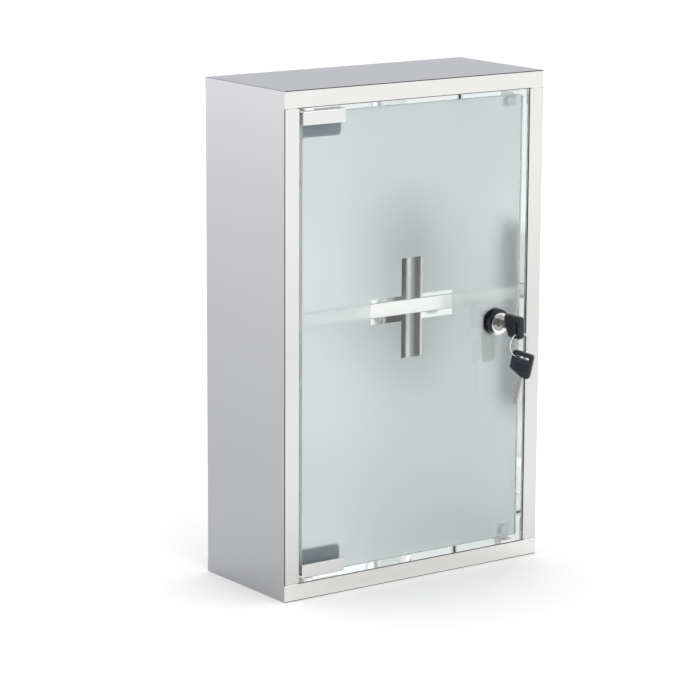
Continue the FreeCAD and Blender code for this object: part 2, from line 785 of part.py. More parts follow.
def key_blade(label, place):
    """A key's metal blade: tang inside the head, notches along one edge, a milled groove in each face.

    Its own origin is where the blade leaves the head, and it points along +Y.
    """
    body = new_body(label)
    half = "(key_width / 2)"
    outline = new_sketch(body, "YZ_Plane")
    polygon(outline, [
        ("-key_tang", f"-{half}"),
        ("key_length - key_tip", f"-{half}"),
        ("key_length", "0"),
        ("key_length - key_tip", half),
        ("-key_tang", half),
    ])
    pad(body, outline, "key_thickness", both_ways=True)
    notch = new_sketch(body, "YZ_Plane")
    polygon(notch, [
        ("notch_first", f"notch_depth - {half}"),
        ("notch_first - notch_depth", f"-{half}"),
        ("notch_first + notch_depth", f"-{half}"),
    ])
    cut = pocket(body, notch, "2 * key_thickness", both_ways=True)
    row = body.newObject("PartDesign::LinearPattern", body.Name + "_notches")
    row.Originals = [cut]
    row.Direction = (outline, ["H_Axis"])
    bind(row, "Length", f"{NOTCH_COUNT - 1} * notch_spacing")
    row.Occurrences = NOTCH_COUNT
    body.Tip = row
    doc.recompute()
    groove = new_sketch(body, "XZ_Plane", "-key_tip")
    for side in (LEFT, RIGHT):
        face = f"{side} * key_thickness / 2"
        floor = f"{face} - {side} * key_groove_depth"
        rectangle(groove, face, floor, "-key_groove_width / 2", "key_groove_width / 2")
    pocket(body, groove, "key_length")
    place(body)
    return keep(body)


def key_head(label, place):
    """A key's moulded grip: one shoulder cut away, a recess in each face, a slot for the ring."""
    body = new_body(label)
    half = "(head_width / 2)"
    outline = new_sketch(body, "YZ_Plane")
    polygon(outline, [
        ("0", half),
        ("-head_length", half),
        ("-head_length", f"-{half}"),
        ("-head_shoulder_along", f"-{half}"),
        ("0", f"head_shoulder_across - {half}"),
    ])
    pad(body, outline, "head_thickness", both_ways=True)
    dress_edges(body, "Fillet", edges_at(body, "x"), "Radius", "head_corner_radius")
    dress_edges(body, "Chamfer", face_edges(body, "x"), "Size", "head_edge_bevel")
    for side in (LEFT, RIGHT):
        recess = new_sketch(body, "YZ_Plane", f"{side} * head_thickness / 2")
        grip_end = "2 * slot_inset - head_length"
        rectangle(recess, grip_end, "-head_shoulder_along", f"head_rim - {half}", f"{half} - head_rim")
        pocket(body, recess, "head_recess", outward=side == LEFT)
    slot = new_sketch(body, "YZ_Plane")
    upright_slot(slot, "(slot_inset - head_length)", "slot_width", "slot_length")
    pocket(body, slot, "2 * head_thickness", both_ways=True)
    socket = new_sketch(body, "XZ_Plane")
    rectangle(socket, "-key_thickness / 2", "key_thickness / 2", "-key_width / 2", "key_width / 2")
    pocket(body, socket, "key_tang", outward=True)
    place(body)
    return keep(body)


def key_ring():
    """The wire ring through both heads, its two ends almost meeting at one side."""
    turn = FreeCAD.Rotation(FreeCAD.Vector(1, 0, 0), RIGHT_ANGLE)
    body = new_body("key_ring", RING_X, RING_Y, f"{RING_TOP} - ring_radius", turn)
    section = new_sketch(body, "XZ_Plane")
    half_side = ROUND_TURN / WIRE_SIDES / 2
    angles = [half_side * (2 * side + 1) for side in range(WIRE_SIDES)]
    polygon(section, [
        (f"ring_radius + wire_diameter / 2 * cos({angle})", f"wire_diameter / 2 * sin({angle})")
        for angle in angles
    ])
    revolve(body, section, f"{ROUND_TURN} - ring_opening_angle")
    return keep(body)


def in_lock(body):
    """The first key stands in the lock."""
    put(body, LOCK_X, f"{GLASS_FRONT} - key_stand_off", "lock_level")


def hang_on(wire):
    """The spare key hangs by one end of its slot on the lowest point of the ring.

    Its broad face is turned to the front, and it leans so that its weight is under the wire.
    """
    turn = SIZES["spare_turn_angle"]
    lean = SIZES["spare_lean_angle"]
    wire_radius = SIZES["wire_diameter"] / 2
    half_thickness = SIZES["head_thickness"] / 2
    drift = half_thickness * math.tan(math.radians(turn)) + wire_radius / math.cos(math.radians(turn))
    up_slot = SIZES["slot_length"] / 2 - drift - SIZES["slot_end_play"]
    held_point = FreeCAD.Vector(0, SIZES["slot_inset"] - SIZES["head_length"], -up_slot)
    upright = FreeCAD.Rotation(FreeCAD.Vector(0, 0, 1), turn)
    hanging = FreeCAD.Rotation(FreeCAD.Vector(1, 0, 0), lean - RIGHT_ANGLE)
    flipped = FreeCAD.Rotation(FreeCAD.Vector(0, 1, 0), HALF_TURN)
    rotation = upright * hanging * flipped
    lowest = wire.Placement.Base - FreeCAD.Vector(0, 0, SIZES["ring_radius"])

    def place(body):
        body.Placement = FreeCAD.Placement(lowest - rotation.multVec(held_point), rotation)

    return place


def build():
    """Every piece, from the shell inwards."""
    side_panel("left_side_panel", LEFT)
    side_panel("right_side_panel", RIGHT)
    end_panel("top_panel", UPPER)
    end_panel("bottom_panel", LOWER)
    back_panel()
    shelf()
    shelf_support("left_shelf_support", LEFT)
    shelf_support("right_shelf_support", RIGHT)
    glass_door()
    for end in ENDS:
        door_stop(f"{end}_door_stop", end)
        pivot_bush(f"{end}_pivot_bush", end)
        pivot_pin(f"{end}_pivot_pin", end)
        hinge_clamp(f"{end}_hinge_clamp", end)
        clamp_layers(end)
    group("door_stop_pads", [stop_pad(f"{end}_stop_pad", end) for end in ENDS])
    sides = {LEFT: "left", RIGHT: "right"}
    screws = [hinge_screw(f"{end}_{sides[side]}_screw", end, side) for end in ENDS for side in sides]
    group("hinge_screws", screws)
    lock_housing()
    barrel_radius = "barrel_diameter / 2"
    washer_front = "glass_thickness"
    washer_rear = "glass_thickness + washer_thickness"
    ring("lock_gasket", barrel_radius, "rosette_diameter / 2", "-gasket_thickness", "0")
    ring("lock_washer", barrel_radius, "nut_flats / 2", washer_front, washer_rear)
    lock_nut()
    lock_plug()
    lock_cam()
    cam_screw()
    key_blade("key_blade", in_lock)
    key_head("key_head", in_lock)
    place_on_ring = hang_on(key_ring())
    key_blade("spare_key_blade", place_on_ring)
    key_head("spare_key_head", place_on_ring)
    doc.recompute()


def write_pieces():
    """Check that nothing failed, and write each piece to a file of its own name."""
    failed = [thing.Label for thing in doc.Objects if {"Invalid", "Error"} & set(thing.State)]
    if failed:
        raise RuntimeError("failed objects: " + ", ".join(failed))
    for piece in pieces:
        if piece.Shape.isNull() or not piece.Shape.isValid():
            raise RuntimeError("no valid shape: " + piece.Label)
    os.makedirs("parts", exist_ok=True)
    for piece in pieces:
        piece.Shape.exportStep(f"parts/{piece.Label}.step")
    print(len(pieces), "pieces written")


fill_sheet()
build()
write_pieces()
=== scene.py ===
import math

import bmesh
import bpy
from bpy.props import FloatProperty, FloatVectorProperty, IntProperty, PointerProperty
from bpy.types import NodeSocket, Operator, Panel, PropertyGroup
from mathutils import Matrix, Vector
from mathutils.geometry import tessellate_polygon


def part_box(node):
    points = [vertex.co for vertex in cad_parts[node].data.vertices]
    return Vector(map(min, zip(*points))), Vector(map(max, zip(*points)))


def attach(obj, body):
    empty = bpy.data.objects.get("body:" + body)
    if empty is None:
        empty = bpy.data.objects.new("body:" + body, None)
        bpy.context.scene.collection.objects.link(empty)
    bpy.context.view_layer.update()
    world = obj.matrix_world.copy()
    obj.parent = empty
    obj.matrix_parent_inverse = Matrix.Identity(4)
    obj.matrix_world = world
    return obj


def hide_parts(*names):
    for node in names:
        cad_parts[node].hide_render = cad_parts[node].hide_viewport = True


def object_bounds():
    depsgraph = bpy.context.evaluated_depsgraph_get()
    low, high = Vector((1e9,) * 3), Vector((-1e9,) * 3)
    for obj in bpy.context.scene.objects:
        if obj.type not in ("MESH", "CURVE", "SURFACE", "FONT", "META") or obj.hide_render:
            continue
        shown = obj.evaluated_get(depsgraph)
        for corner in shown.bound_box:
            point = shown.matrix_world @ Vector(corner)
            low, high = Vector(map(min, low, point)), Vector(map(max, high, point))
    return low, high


# Wall cabinet of folded steel with a frosted glass door, a cam lock and two keys on a ring.
# Metres throughout: X to the right, Y to the back, Z up from the underside.

bl_info = {
    "name": "Frosted Door Cabinet",
    "version": (1, 0, 0),
    "blender": (4, 5, 0),
    "location": "3D View > Sidebar > Cabinet",
    "description": "Dresses a steel wall cabinet with its glass, lock, keys and finishes",
    "category": "Object",
}

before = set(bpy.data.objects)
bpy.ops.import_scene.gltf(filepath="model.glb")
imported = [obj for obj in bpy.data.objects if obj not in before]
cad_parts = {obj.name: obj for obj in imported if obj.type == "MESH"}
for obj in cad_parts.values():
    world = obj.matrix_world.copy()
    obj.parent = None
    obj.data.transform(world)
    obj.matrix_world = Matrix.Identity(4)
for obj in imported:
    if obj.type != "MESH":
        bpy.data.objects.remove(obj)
cad_low, cad_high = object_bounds()
glass_low, glass_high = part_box("glass_door")
lock_low, lock_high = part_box("lock_housing")
ring_low, ring_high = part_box("key_ring")
back_low, back_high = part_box("back_panel")

half_width = cad_high.x
height = cad_high.z
sheet = half_width - back_high.x
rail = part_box("left_side_panel")[1].x + half_width
shell_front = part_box("top_panel")[0].y
lock_centre = (lock_low + lock_high) / 2

MM = 0.001
FULL_TURN = 2 * math.pi
QUARTER_TURN = math.pi / 2

# Small sizes that the frame doesn't give

SHEET_EASE = 0.12 * MM
STOP_EASE = 0.15 * MM
BUTTON_DOME = 0.9 * MM
BUTTON_ROOT = 0.2 * MM
CLAMP_EASE = 0.18 * MM
PAD_EASE = 0.05 * MM
PAD_CORNERS = {"front": 0.0, "rear": 3.5 * MM}
AIR_FILM = 0.03 * MM
SCREW_HEAD_RADIUS = 4 * MM
SCREW_HEAD_HEIGHT = 1.6 * MM
SCREW_DOME = 0.7 * MM
SCREW_SLOT_WIDTH = 0.8 * MM
SCREW_SLOT_DEPTH = 0.9 * MM
PLUG_CLEARANCE = 0.05 * MM
PLUG_SEAT_DEPTH = 1.85 * MM
LOCK_BORE_RADIUS = 5.55 * MM
LOCK_EASE = 0.15 * MM
NUT_EASE = 0.25 * MM
SLOT_LIP = 0.35 * MM
SLOT_END_FLAT = 0.01 * MM
RECESS_CORNER = 1.6 * MM
RECESS_EDGE_INSET = 0.18 * MM
RECESS_EDGE_FALL = 0.15 * MM
RECESS_FLOOR_INSET = 0.45 * MM
GROOVE_CORNER = 0.5 * MM
GROOVE_SLOPE = 0.1 * MM
BLADE_EASE = 0.1 * MM
GRIP_SPACING = 0.95 * MM
GRIP_RADIUS = 0.22 * MM
GRIP_END_ROOM = 2 * MM
SMALLEST_ARC = 0.02 * MM
FACET_JOIN = 0.001 * MM
SEAM_JOIN = 0.0001 * MM

# Reaches of the shell's finishes and painted shade: a spot lies on an outer face when it is no deeper than
# the skin

SKIN = 0.5 * MM
STILE_OVERLAP = 2.1 * MM
WALL_GAP = 3 * MM
SHADE_SWAY = 2.5 * MM

# Depths of the relief in the finishes

MIRROR_RELIEF = 0.001 * MM
POLISHED_RELIEF = 0.002 * MM
MACHINED_RELIEF = 0.003 * MM
BRUSHED_RELIEF = 0.004 * MM
MOULDED_RELIEF = 0.01 * MM
PLASTIC_RELIEF = 0.012 * MM
RUBBER_RELIEF = 0.02 * MM

# Painted shade and reflection on the shell, each a place in millimetres along the stated axis with a share
# from nought to one

# Z, share of the front frame's upper colour over its foot colour: painted bands of reflection and shade
# down the polished frame
FRAME_PAINTED_BANDS = ((0, 1.0), (13, 1.0), (15, 0.42), (60, 0.36), (200, 0.06), (330, 0.6), (400, 0.72))
# Y, depth of the painted shade and dark reflection on the inner wall beside the lock
INSIDE_WALL_SHADE = (
    (-40.5, 0.2), (-38, 1.0), (-22.5, 1.0), (-20.5, 0.3), (-17, 0.3), (-15, 0.75), (-11.5, 0.8),
    (-9.5, 1.0), (-1.5, 1.0), (1, 0.0))
# Z, where that painted shade begins and ends
INSIDE_SHADE_HEIGHTS = ((106, 0.0), (128, 1.0), (266, 1.0), (279, 0.0))
# Distance from an inner corner, depth of the dark joint line and the painted corner shade
CORNER_SHADE_TONES = ((0, 1.0), (0.7, 0.9), (1.3, 0.2), (4, 0.0))

# Side view of a key blade in millimetres: the head ends at nought, the cuts lie below and the back above

BLADE_OUTLINE = (
    (-8, -3), (3.2, -3), (4.6, -0.8), (6.0, -0.8), (7.4, -2.8), (8.4, -2.8), (10.2, -0.2),
    (11.8, -0.2), (13.2, -2.2), (14.2, -2.2), (15.6, -0.4), (17.0, -0.4), (18.0, -1.7), (18.8, -1.7),
    (20.0, 0.2), (21.4, 0.2), (22.6, 0.8), (23, 1.4), (22.6, 2.3), (21.4, 3), (-8, 3))
# Left, right, lower and upper edge of the groove in its faces
BLADE_GROOVE = (1.2, 21, 0.9, 2.1)


# Settings that a user would change

def length_field(name, description, default):
    """A size of nought or more."""
    return FloatProperty(
        name=name, description=description, default=default, min=0, subtype="DISTANCE", unit="LENGTH")


def angle_field(name, description, default):
    """An angle, shown in degrees."""
    return FloatProperty(
        name=name, description=description, default=default, subtype="ANGLE", unit="ROTATION")


def share_field(name, description, default):
    """A number from nought to one."""
    return FloatProperty(
        name=name, description=description, default=default, min=0, max=1, subtype="FACTOR")


def colour_field(name, description, default):
    """A colour of red, green and blue."""
    return FloatVectorProperty(
        name=name, description=description, default=default, min=0, max=1, subtype="COLOR", size=3)


class SteelSettings(PropertyGroup):
    """Colours, painted shade and smoothness of the folded steel."""
    satin_colour: colour_field(
        "Satin Colour", "Tint of the side walls at their upper end", (0.605, 0.605, 0.627))
    # Painted shade: the side walls darken towards their foot, standing in for the shaded floor that they
    # mirror there.
    satin_shaded_foot_colour: colour_field(
        "Satin Foot Colour", "Tint of the side walls at their lower end", (0.415, 0.42, 0.44))
    # Painted shade: the top face is the same satin steel, given a darker tint for the darker room that it
    # mirrors.
    lid_shade_colour: colour_field("Lid Colour", "Tint of the top face", (0.215, 0.225, 0.255))
    satin_roughness: share_field("Satin Roughness", "How softly the outside mirrors the room", 0.36)
    front_colour: colour_field(
        "Front Colour", "Tint of the polished front frame at its upper end", (0.835, 0.825, 0.80))
    # Painted shade: the front frame's tint falls towards its foot, in bands that stand in for the room it
    # mirrors.
    front_shaded_foot_colour: colour_field(
        "Front Foot Colour", "Tint of the polished front frame at its lower end", (0.62, 0.62, 0.595))
    front_roughness: share_field("Front Roughness", "How softly the front frame mirrors the room", 0.17)
    # Painted dark reflection: a dark tint laid along every fold of the shell.
    bend_shade_colour: colour_field("Bend Colour", "Tint of the dull line along every fold", (0.03, 0.03, 0.032))
    seam_colour: colour_field(
        "Seam Colour", "Tint of the hairline where two front rails meet", (0.30, 0.29, 0.28))
    seam_width: length_field("Seam Width", "Width of that hairline", 0.35 * MM)
    inside_colour: colour_field(
        "Inside Colour", "Tint of the mirror-polished inside", (0.972, 0.972, 0.967))
    # Painted shade: the tint of the streaks and corners inside stands in for shade and dark reflections.
    inside_shade_colour: colour_field(
        "Streak Colour", "Tint of the dull streaks and corners inside", (0.05, 0.05, 0.052))
    inside_roughness: share_field("Inside Roughness", "How softly the inside mirrors", 0.05)


class GlassSettings(PropertyGroup):
    """Shape and frosting of the glass door."""
    corner_radius: length_field("Corner Radius", "Rounding of the pane's corners", 2 * MM)
    arris: length_field("Arris", "Width of the polished slope along every edge", 0.6 * MM)
    hole_clearance: length_field("Hole Clearance", "Gap between the lock's barrel and the glass", 0.3 * MM)
    barrel_diameter: length_field("Barrel Diameter", "Outside of the lock's barrel", 16 * MM)
    cross_span: length_field("Cross Span", "Length of both clear bars of the cross", 80 * MM)
    cross_bar: length_field("Cross Bar", "Width of the clear bars", 20 * MM)
    cross_level: length_field("Cross Level", "Height of the cross's centre above the underside", 220 * MM)
    cross_colour: colour_field("Cross Colour", "Tint of the clear cross", (0.90, 0.92, 0.92))
    frost_colour: colour_field("Frost Colour", "Tint of the etched face", (0.90, 0.985, 0.995))
    frost_clearness: share_field("Frost Clearness", "Share of the light that passes the etched face", 0.93)
    frost_roughness: share_field("Frost Roughness", "How far the etched face scatters what passes", 0.55)
    edge_colour: colour_field("Edge Colour", "Green of the glass seen along its edges", (0.80, 0.95, 0.93))


class LockSettings(PropertyGroup):
    """Profile, plating and painted shoulder reflection of the rosette."""
    crest_radius: length_field("Crest Radius", "Radius of the highest line of the rosette", 8.9 * MM)
    shoulder: length_field("Shoulder", "Straight wall at the rosette's rim", 1.0 * MM)
    dish_depth: length_field(
        "Dish Depth", "How far the dish round the plug sinks below the crest", 0.35 * MM)
    chrome_colour: colour_field("Chrome Colour", "Tint of the bright plating", (0.72, 0.72, 0.73))
    # Painted reflection: the dark crescent on the shoulder stands in for the dark room that the chrome
    # mirrors.
    shoulder_reflection_colour: colour_field("Smoke Colour", "Tint of the rosette's dark shoulder", (0.022, 0.024, 0.032))


class KeySettings(PropertyGroup):
    """Moulded key heads, steel blades and the wire ring."""
    head_length: length_field("Head Length", "Length of the moulded head along the blade", 20.5 * MM)
    head_width: length_field("Head Width", "Width of the moulded head", 18 * MM)
    head_thickness: length_field("Head Thickness", "Thickness of the moulded head", 5 * MM)
    shoulder_along: length_field("Shoulder Along", "Length of the cut shoulder along the head", 5.5 * MM)
    shoulder_across: length_field(
        "Shoulder Across", "Length of the cut shoulder across the head", 11.7 * MM)
    corner_radius: length_field("Corner Radius", "Rounding of the head's outline", 2.5 * MM)
    edge_radius: length_field("Edge Radius", "Rounding from the head's sides into its faces", 1.2 * MM)
    slot_inset: length_field("Slot Inset", "Distance of the ring slot from the head's end", 4.5 * MM)
    slot_width: length_field("Slot Width", "Width of the ring slot", 2.6 * MM)
    slot_length: length_field("Slot Length", "Length of the ring slot", 12 * MM)
    slot_end_play: length_field("Slot End Play", "Gap between the wire and the slot's round end", 0.5 * MM)
    recess_depth: length_field("Recess Depth", "Depth of the thumb recess in each face", 0.5 * MM)
    recess_rim: length_field("Recess Rim", "Width of the rim beside the thumb recess", 2.2 * MM)
    grip_lines: IntProperty(
        name="Grip Lines", description="Raised lines in each thumb recess", min=2, default=5)
    stand_off: length_field("Stand-Off", "Distance of the first key's head from the glass", 12 * MM)
    blade_thickness: length_field("Blade Thickness", "Thickness of the steel blade", 2 * MM)
    groove_depth: length_field(
        "Groove Depth", "Depth of the milled groove in each face of the blade", 0.4 * MM)
    wire_diameter: length_field("Wire Diameter", "Thickness of the ring's wire", 1.1 * MM)
    ring_opening: angle_field("Ring Opening", "Angle between the two ends of the wire", math.radians(4))
    spare_turn: angle_field("Spare Turn", "Turn of the hanging key about the upright", math.radians(30))
    spare_lean: angle_field("Spare Lean", "Lean of the hanging key from the upright", math.radians(12))
    plastic_colour: colour_field("Plastic Colour", "Colour of the moulded heads", (0.014, 0.016, 0.026))


class StageSettings(PropertyGroup):
    """Camera, lights and floor."""
    camera_place: FloatVectorProperty(
        name="Camera Place", description="Where the camera stands",
        subtype="TRANSLATION", unit="LENGTH", size=3, default=(-1.39493, -1.91493, 0.68076))
    camera_azimuth: angle_field(
        "Camera Azimuth", "Direction of sight, turned right from straight ahead", 0.62121)
    camera_fall: angle_field("Camera Fall", "How far the line of sight falls", math.radians(12.01))
    camera_roll: angle_field("Camera Roll", "Roll about the line of sight", math.radians(0.284))
    camera_lens: FloatProperty(
        name="Camera Lens", description="Focal length in millimetres", min=1, default=154.9)
    floor_reach: length_field("Floor Reach", "Half the side of the floor", 8)
    floor_colour: colour_field("Floor Colour", "Pale tone of the floor", (0.97, 0.97, 0.97))
    room_strength: FloatProperty(
        name="Room Strength", description="Light that comes from all round", min=0, default=1.35)
    key_power: FloatProperty(
        name="Key Light", description="Power of the large softbox", unit="POWER", min=0, default=8)
    fill_power: FloatProperty(
        name="Fill Light", description="Power of the low softbox", unit="POWER", min=0, default=1.5)


# Node helpers

def fill(tree, node, inputs):
    """Join a node's inputs to sockets, or set them to plain values."""
    for key, value in inputs.items():
        if isinstance(value, NodeSocket):
            tree.links.new(value, node.inputs[key])
        else:
            node.inputs[key].default_value = value


def wire(tree, kind, inputs=None, **options):
    """Add a node, set its own options, and join or fill its inputs."""
    made = tree.nodes.new(kind)
    for name, value in options.items():
        setattr(made, name, value)
    fill(tree, made, inputs or {})
    return made


def reckon(tree, operation, first, second=0.0):
    """One step of arithmetic on sockets or numbers."""
    return wire(tree, "ShaderNodeMath", {0: first, 1: second}, operation=operation).outputs[0]


def product(tree, first, *others):
    """Everything multiplied; of masks, one where all of them are one."""
    for other in others:
        first = reckon(tree, "MULTIPLY", first, other)
    return first


def total(tree, first, second):
    """Two numbers added."""
    return reckon(tree, "ADD", first, second)


def less(tree, value, amount):
    """What is left of a value."""
    return reckon(tree, "SUBTRACT", value, amount)


def opposite(tree, mask):
    """One where the mask is nought."""
    return less(tree, 1.0, mask)


def inside_band(tree, value, centre, reach):
    """One where the value lies within reach of the centre, and nought elsewhere."""
    apart = reckon(tree, "ABSOLUTE", less(tree, value, centre))
    return reckon(tree, "LESS_THAN", apart, reach)


def span(tree, value, low=0.0, high=1.0, start=0.0, end=1.0, ease="LINEAR"):
    """A value that runs from start to end, laid out between low and high and held there beyond."""
    inputs = {0: value, 1: start, 2: end, 3: low, 4: high}
    return wire(tree, "ShaderNodeMapRange", inputs, interpolation_type=ease).outputs[0]


def tones_along(tree, value, tones):
    """A share laid out along a value by pairs of millimetres and shares."""
    first, last = tones[0][0], tones[-1][0]
    ramp = wire(tree, "ShaderNodeValToRGB", {0: span(tree, value, start=first * MM, end=last * MM)})
    marks = ramp.color_ramp.elements
    for place, _ in tones[1:-1]:
        marks.new((place - first) / (last - first))
    for mark, (_, grey) in zip(marks, tones):
        mark.color = (grey, grey, grey, 1)
    return wire(tree, "ShaderNodeSeparateColor", {0: ramp.outputs[0]}).outputs[0]


def blend_numbers(tree, share, low, high):
    """A number between two others."""
    return wire(tree, "ShaderNodeMix", {0: share, 2: low, 3: high}, data_type="FLOAT").outputs[0]


def blend_colours(tree, share, low, high):
    """A colour between two others; plain colours are given as three numbers."""
    inputs = {0: share}
    for key, colour in ((6, low), (7, high)):
        inputs[key] = colour if isinstance(colour, NodeSocket) else (*colour, 1)
    return wire(tree, "ShaderNodeMix", inputs, data_type="RGBA").outputs[2]


def toned(colour, factor):
    """A plain colour made darker or paler."""
    return [min(1.0, channel * factor) for channel in colour]


def axes(tree, vector):
    """The three parts of a vector."""
    return wire(tree, "ShaderNodeSeparateXYZ", {0: vector}).outputs


def arrow(tree, x=0.0, y=0.0, z=0.0):
    """A vector from its three parts."""
    return wire(tree, "ShaderNodeCombineXYZ", {0: x, 1: y, 2: z}).outputs[0]


def grain(tree, place, stretch, detail=3.0):
    """Noise pulled out by a different number of ripples a metre along each axis."""
    stretched = wire(tree, "ShaderNodeMapping", {"Vector": place, "Scale": stretch}).outputs[0]
    inputs = {"Vector": stretched, "Scale": 1.0, "Detail": detail}
    return wire(tree, "ShaderNodeTexNoise", inputs).outputs[0]


def relief(tree, shader, ripples, depth):
    """Give the shader a fine surface relief."""
    bump = wire(tree, "ShaderNodeBump", {"Height": ripples, "Distance": depth, "Strength": 1.0})
    fill(tree, shader, {"Normal": bump.outputs[0]})


def new_finish(name):
    """A node material with its tree, its main shader and the object's own coordinates."""
    finish = bpy.data.materials.new(name)
    finish.use_nodes = True
    tree = finish.node_tree
    shader = tree.nodes["Principled BSDF"]
    place = wire(tree, "ShaderNodeTexCoord").outputs["Object"]
    return finish, tree, shader, place


# Finishes of the small parts

def metal(name, colour, roughness, stretch, depth, smudge=0.06):
    """Bare or plated metal with a fine directional grain and faint handling marks."""
    finish, tree, shader, place = new_finish(name)
    lines = grain(tree, place, stretch)
    marks = grain(tree, place, (23, 19, 21), 4.0)
    patch = span(tree, marks, 1 - 3 * smudge, 1 + 3 * smudge)
    fill(tree, shader, {
        "Metallic": 1.0,
        "Base Color": blend_colours(tree, marks, toned(colour, 1 - smudge), colour),
        "Roughness": product(tree, patch, span(tree, lines, 0.9, 1.1), roughness),
    })
    relief(tree, shader, lines, depth)
    return finish


def soft_goods(name, colour, roughness, pits, depth, shine=0.5):
    """Rubber, nylon or moulded plastic with a fine eroded skin."""
    finish, tree, shader, place = new_finish(name)
    skin = grain(tree, place, (pits, pits, pits), 3.0)
    patches = grain(tree, place, (90, 90, 90), 4.0)
    fill(tree, shader, {
        "Base Color": blend_colours(tree, patches, colour, toned(colour, 1.12)),
        "Roughness": product(tree, span(tree, patches, 0.85, 1.15), roughness),
        "Specular IOR Level": shine,
    })
    relief(tree, shader, skin, depth)
    return finish


def rosette_chrome(lock):
    """Bright plating with a painted dark reflection on its shoulder that clears towards the underside."""
    reflection_right, reflection_down = 1.2 * MM, 0.8 * MM
    reflection_starts, reflection_full = 8.3 * MM, 9.0 * MM
    clear_below, dark_above = -9.5 * MM, -5.5 * MM
    finish, tree, shader, place = new_finish("rosette chrome")
    across, _, up = axes(tree, place)
    above = less(tree, up, lock_centre.z)
    aside = less(tree, less(tree, across, lock_centre.x), reflection_right)
    raised = total(tree, above, reflection_down)
    square = total(tree, product(tree, aside, aside), product(tree, raised, raised))
    radius = reckon(tree, "SQRT", square)
    ring = span(tree, radius, start=reflection_starts, end=reflection_full, ease="SMOOTHSTEP")
    fade = span(tree, above, start=clear_below, end=dark_above, ease="SMOOTHSTEP")
    marks = grain(tree, place, (400, 400, 400), 4.0)
    # Painted reflection: a dark crescent on the shoulder, off the centre and fading towards the underside.
    painted_reflection = product(tree, ring, fade, span(tree, marks, 0.97, 1.0))
    fill(tree, shader, {
        "Metallic": 1.0,
        "Base Color": blend_colours(tree, painted_reflection, lock.chrome_colour, lock.shoulder_reflection_colour),
        "Roughness": span(tree, marks, 0.03, 0.07),
    })
    relief(tree, shader, marks, MIRROR_RELIEF)
    return finish


# Finishes of the shell

def painted_bend_shade(tree):
    """Mask of painted dark reflection: one along the middle of every fold, where the surface faces none of
    the three main ways.
    """
    square_on = 0.985
    facing = wire(tree, "ShaderNodeTexCoord").outputs["Normal"]
    squarest = 0.0
    for part in axes(tree, facing):
        squarest = reckon(tree, "MAXIMUM", squarest, reckon(tree, "ABSOLUTE", part))
    return reckon(tree, "LESS_THAN", squarest, square_on)


def shell_zones(tree, across, deep, up, seam_width):
    """Masks of the front frame, the inside, the seam between the front rails and the folds that get painted
    dark reflection.
    """
    within_width = inside_band(tree, across, 0.0, half_width - SKIN)
    within_height = inside_band(tree, up, height / 2, height / 2 - SKIN)
    front = reckon(tree, "LESS_THAN", deep, shell_front + SKIN)
    before_back = reckon(tree, "LESS_THAN", deep, back_high.y - SKIN)
    inside = product(tree, within_width, within_height, opposite(tree, front), before_back)
    seam = product(tree, inside_band(tree, up, rail, seam_width / 2), front)
    aside = reckon(tree, "ABSOLUTE", across)
    beyond_stile = reckon(tree, "GREATER_THAN", aside, half_width - rail + STILE_OVERLAP)
    between_rails = inside_band(tree, up, height / 2, height / 2 - rail / 2)
    unshaded_folds = product(tree, within_width, beyond_stile, between_rails)
    shaded_folds = product(tree, painted_bend_shade(tree), opposite(tree, unshaded_folds))
    return front, inside, seam, shaded_folds


def outside_tone(tree, up, front, cloudy, steel):
    """Painted shade on the outside: satin walls that darken towards the foot, a darker lid, and painted
    bands of reflection and shade down the polished frame.
    """
    # Painted shade that grows towards the foot of the side walls.
    rise = reckon(tree, "POWER", span(tree, up, end=height), 2.6)
    satin = blend_colours(tree, total(tree, rise, cloudy), steel.satin_shaded_foot_colour, steel.satin_colour)
    # Painted shade: the top face gets its own darker tint.
    lid = reckon(tree, "GREATER_THAN", up, height - SKIN)
    satin = blend_colours(tree, lid, satin, steel.lid_shade_colour)
    # Painted bands of reflection and shade down the polished front frame.
    band = total(tree, tones_along(tree, up, FRAME_PAINTED_BANDS), cloudy)
    polished = blend_colours(tree, band, steel.front_shaded_foot_colour, steel.front_colour)
    return blend_colours(tree, front, satin, polished)


def corner_shade(tree, across, deep, up):
    """A dark joint line along the inner corners of the box, with painted shade fading from it to nought on
    the walls that meet there.
    """
    middle = height / 2
    beside = less(tree, back_high.x, reckon(tree, "ABSOLUTE", across))
    behind = less(tree, back_low.y, deep)
    beyond = less(tree, middle - sheet, reckon(tree, "ABSOLUTE", less(tree, up, middle)))
    nearer = reckon(tree, "MINIMUM", beside, behind)
    farther = reckon(tree, "MAXIMUM", beside, behind)
    second_nearest = reckon(tree, "MAXIMUM", nearer, reckon(tree, "MINIMUM", farther, beyond))
    return tones_along(tree, second_nearest, CORNER_SHADE_TONES)


def inside_tone(tree, place, across, deep, up, steel):
    """Mirror-bright sheet with painted shade in its corners, and upright bands of painted shade and dark
    reflection on the wall beside the lock.
    """
    wall = reckon(tree, "GREATER_THAN", across, glass_high.x + WALL_GAP)
    drift = span(tree, grain(tree, place, (0, 0, 12), 2.0), -SHADE_SWAY, SHADE_SWAY)
    wall_shade = tones_along(tree, total(tree, deep, drift), INSIDE_WALL_SHADE)
    painted_dark = product(tree, wall, tones_along(tree, up, INSIDE_SHADE_HEIGHTS), wall_shade)
    # Painted shade in the inner corners joins the painted shade on the wall.
    painted_dark = reckon(tree, "MAXIMUM", painted_dark, corner_shade(tree, across, deep, up))
    return blend_colours(tree, painted_dark, steel.inside_colour, steel.inside_shade_colour)


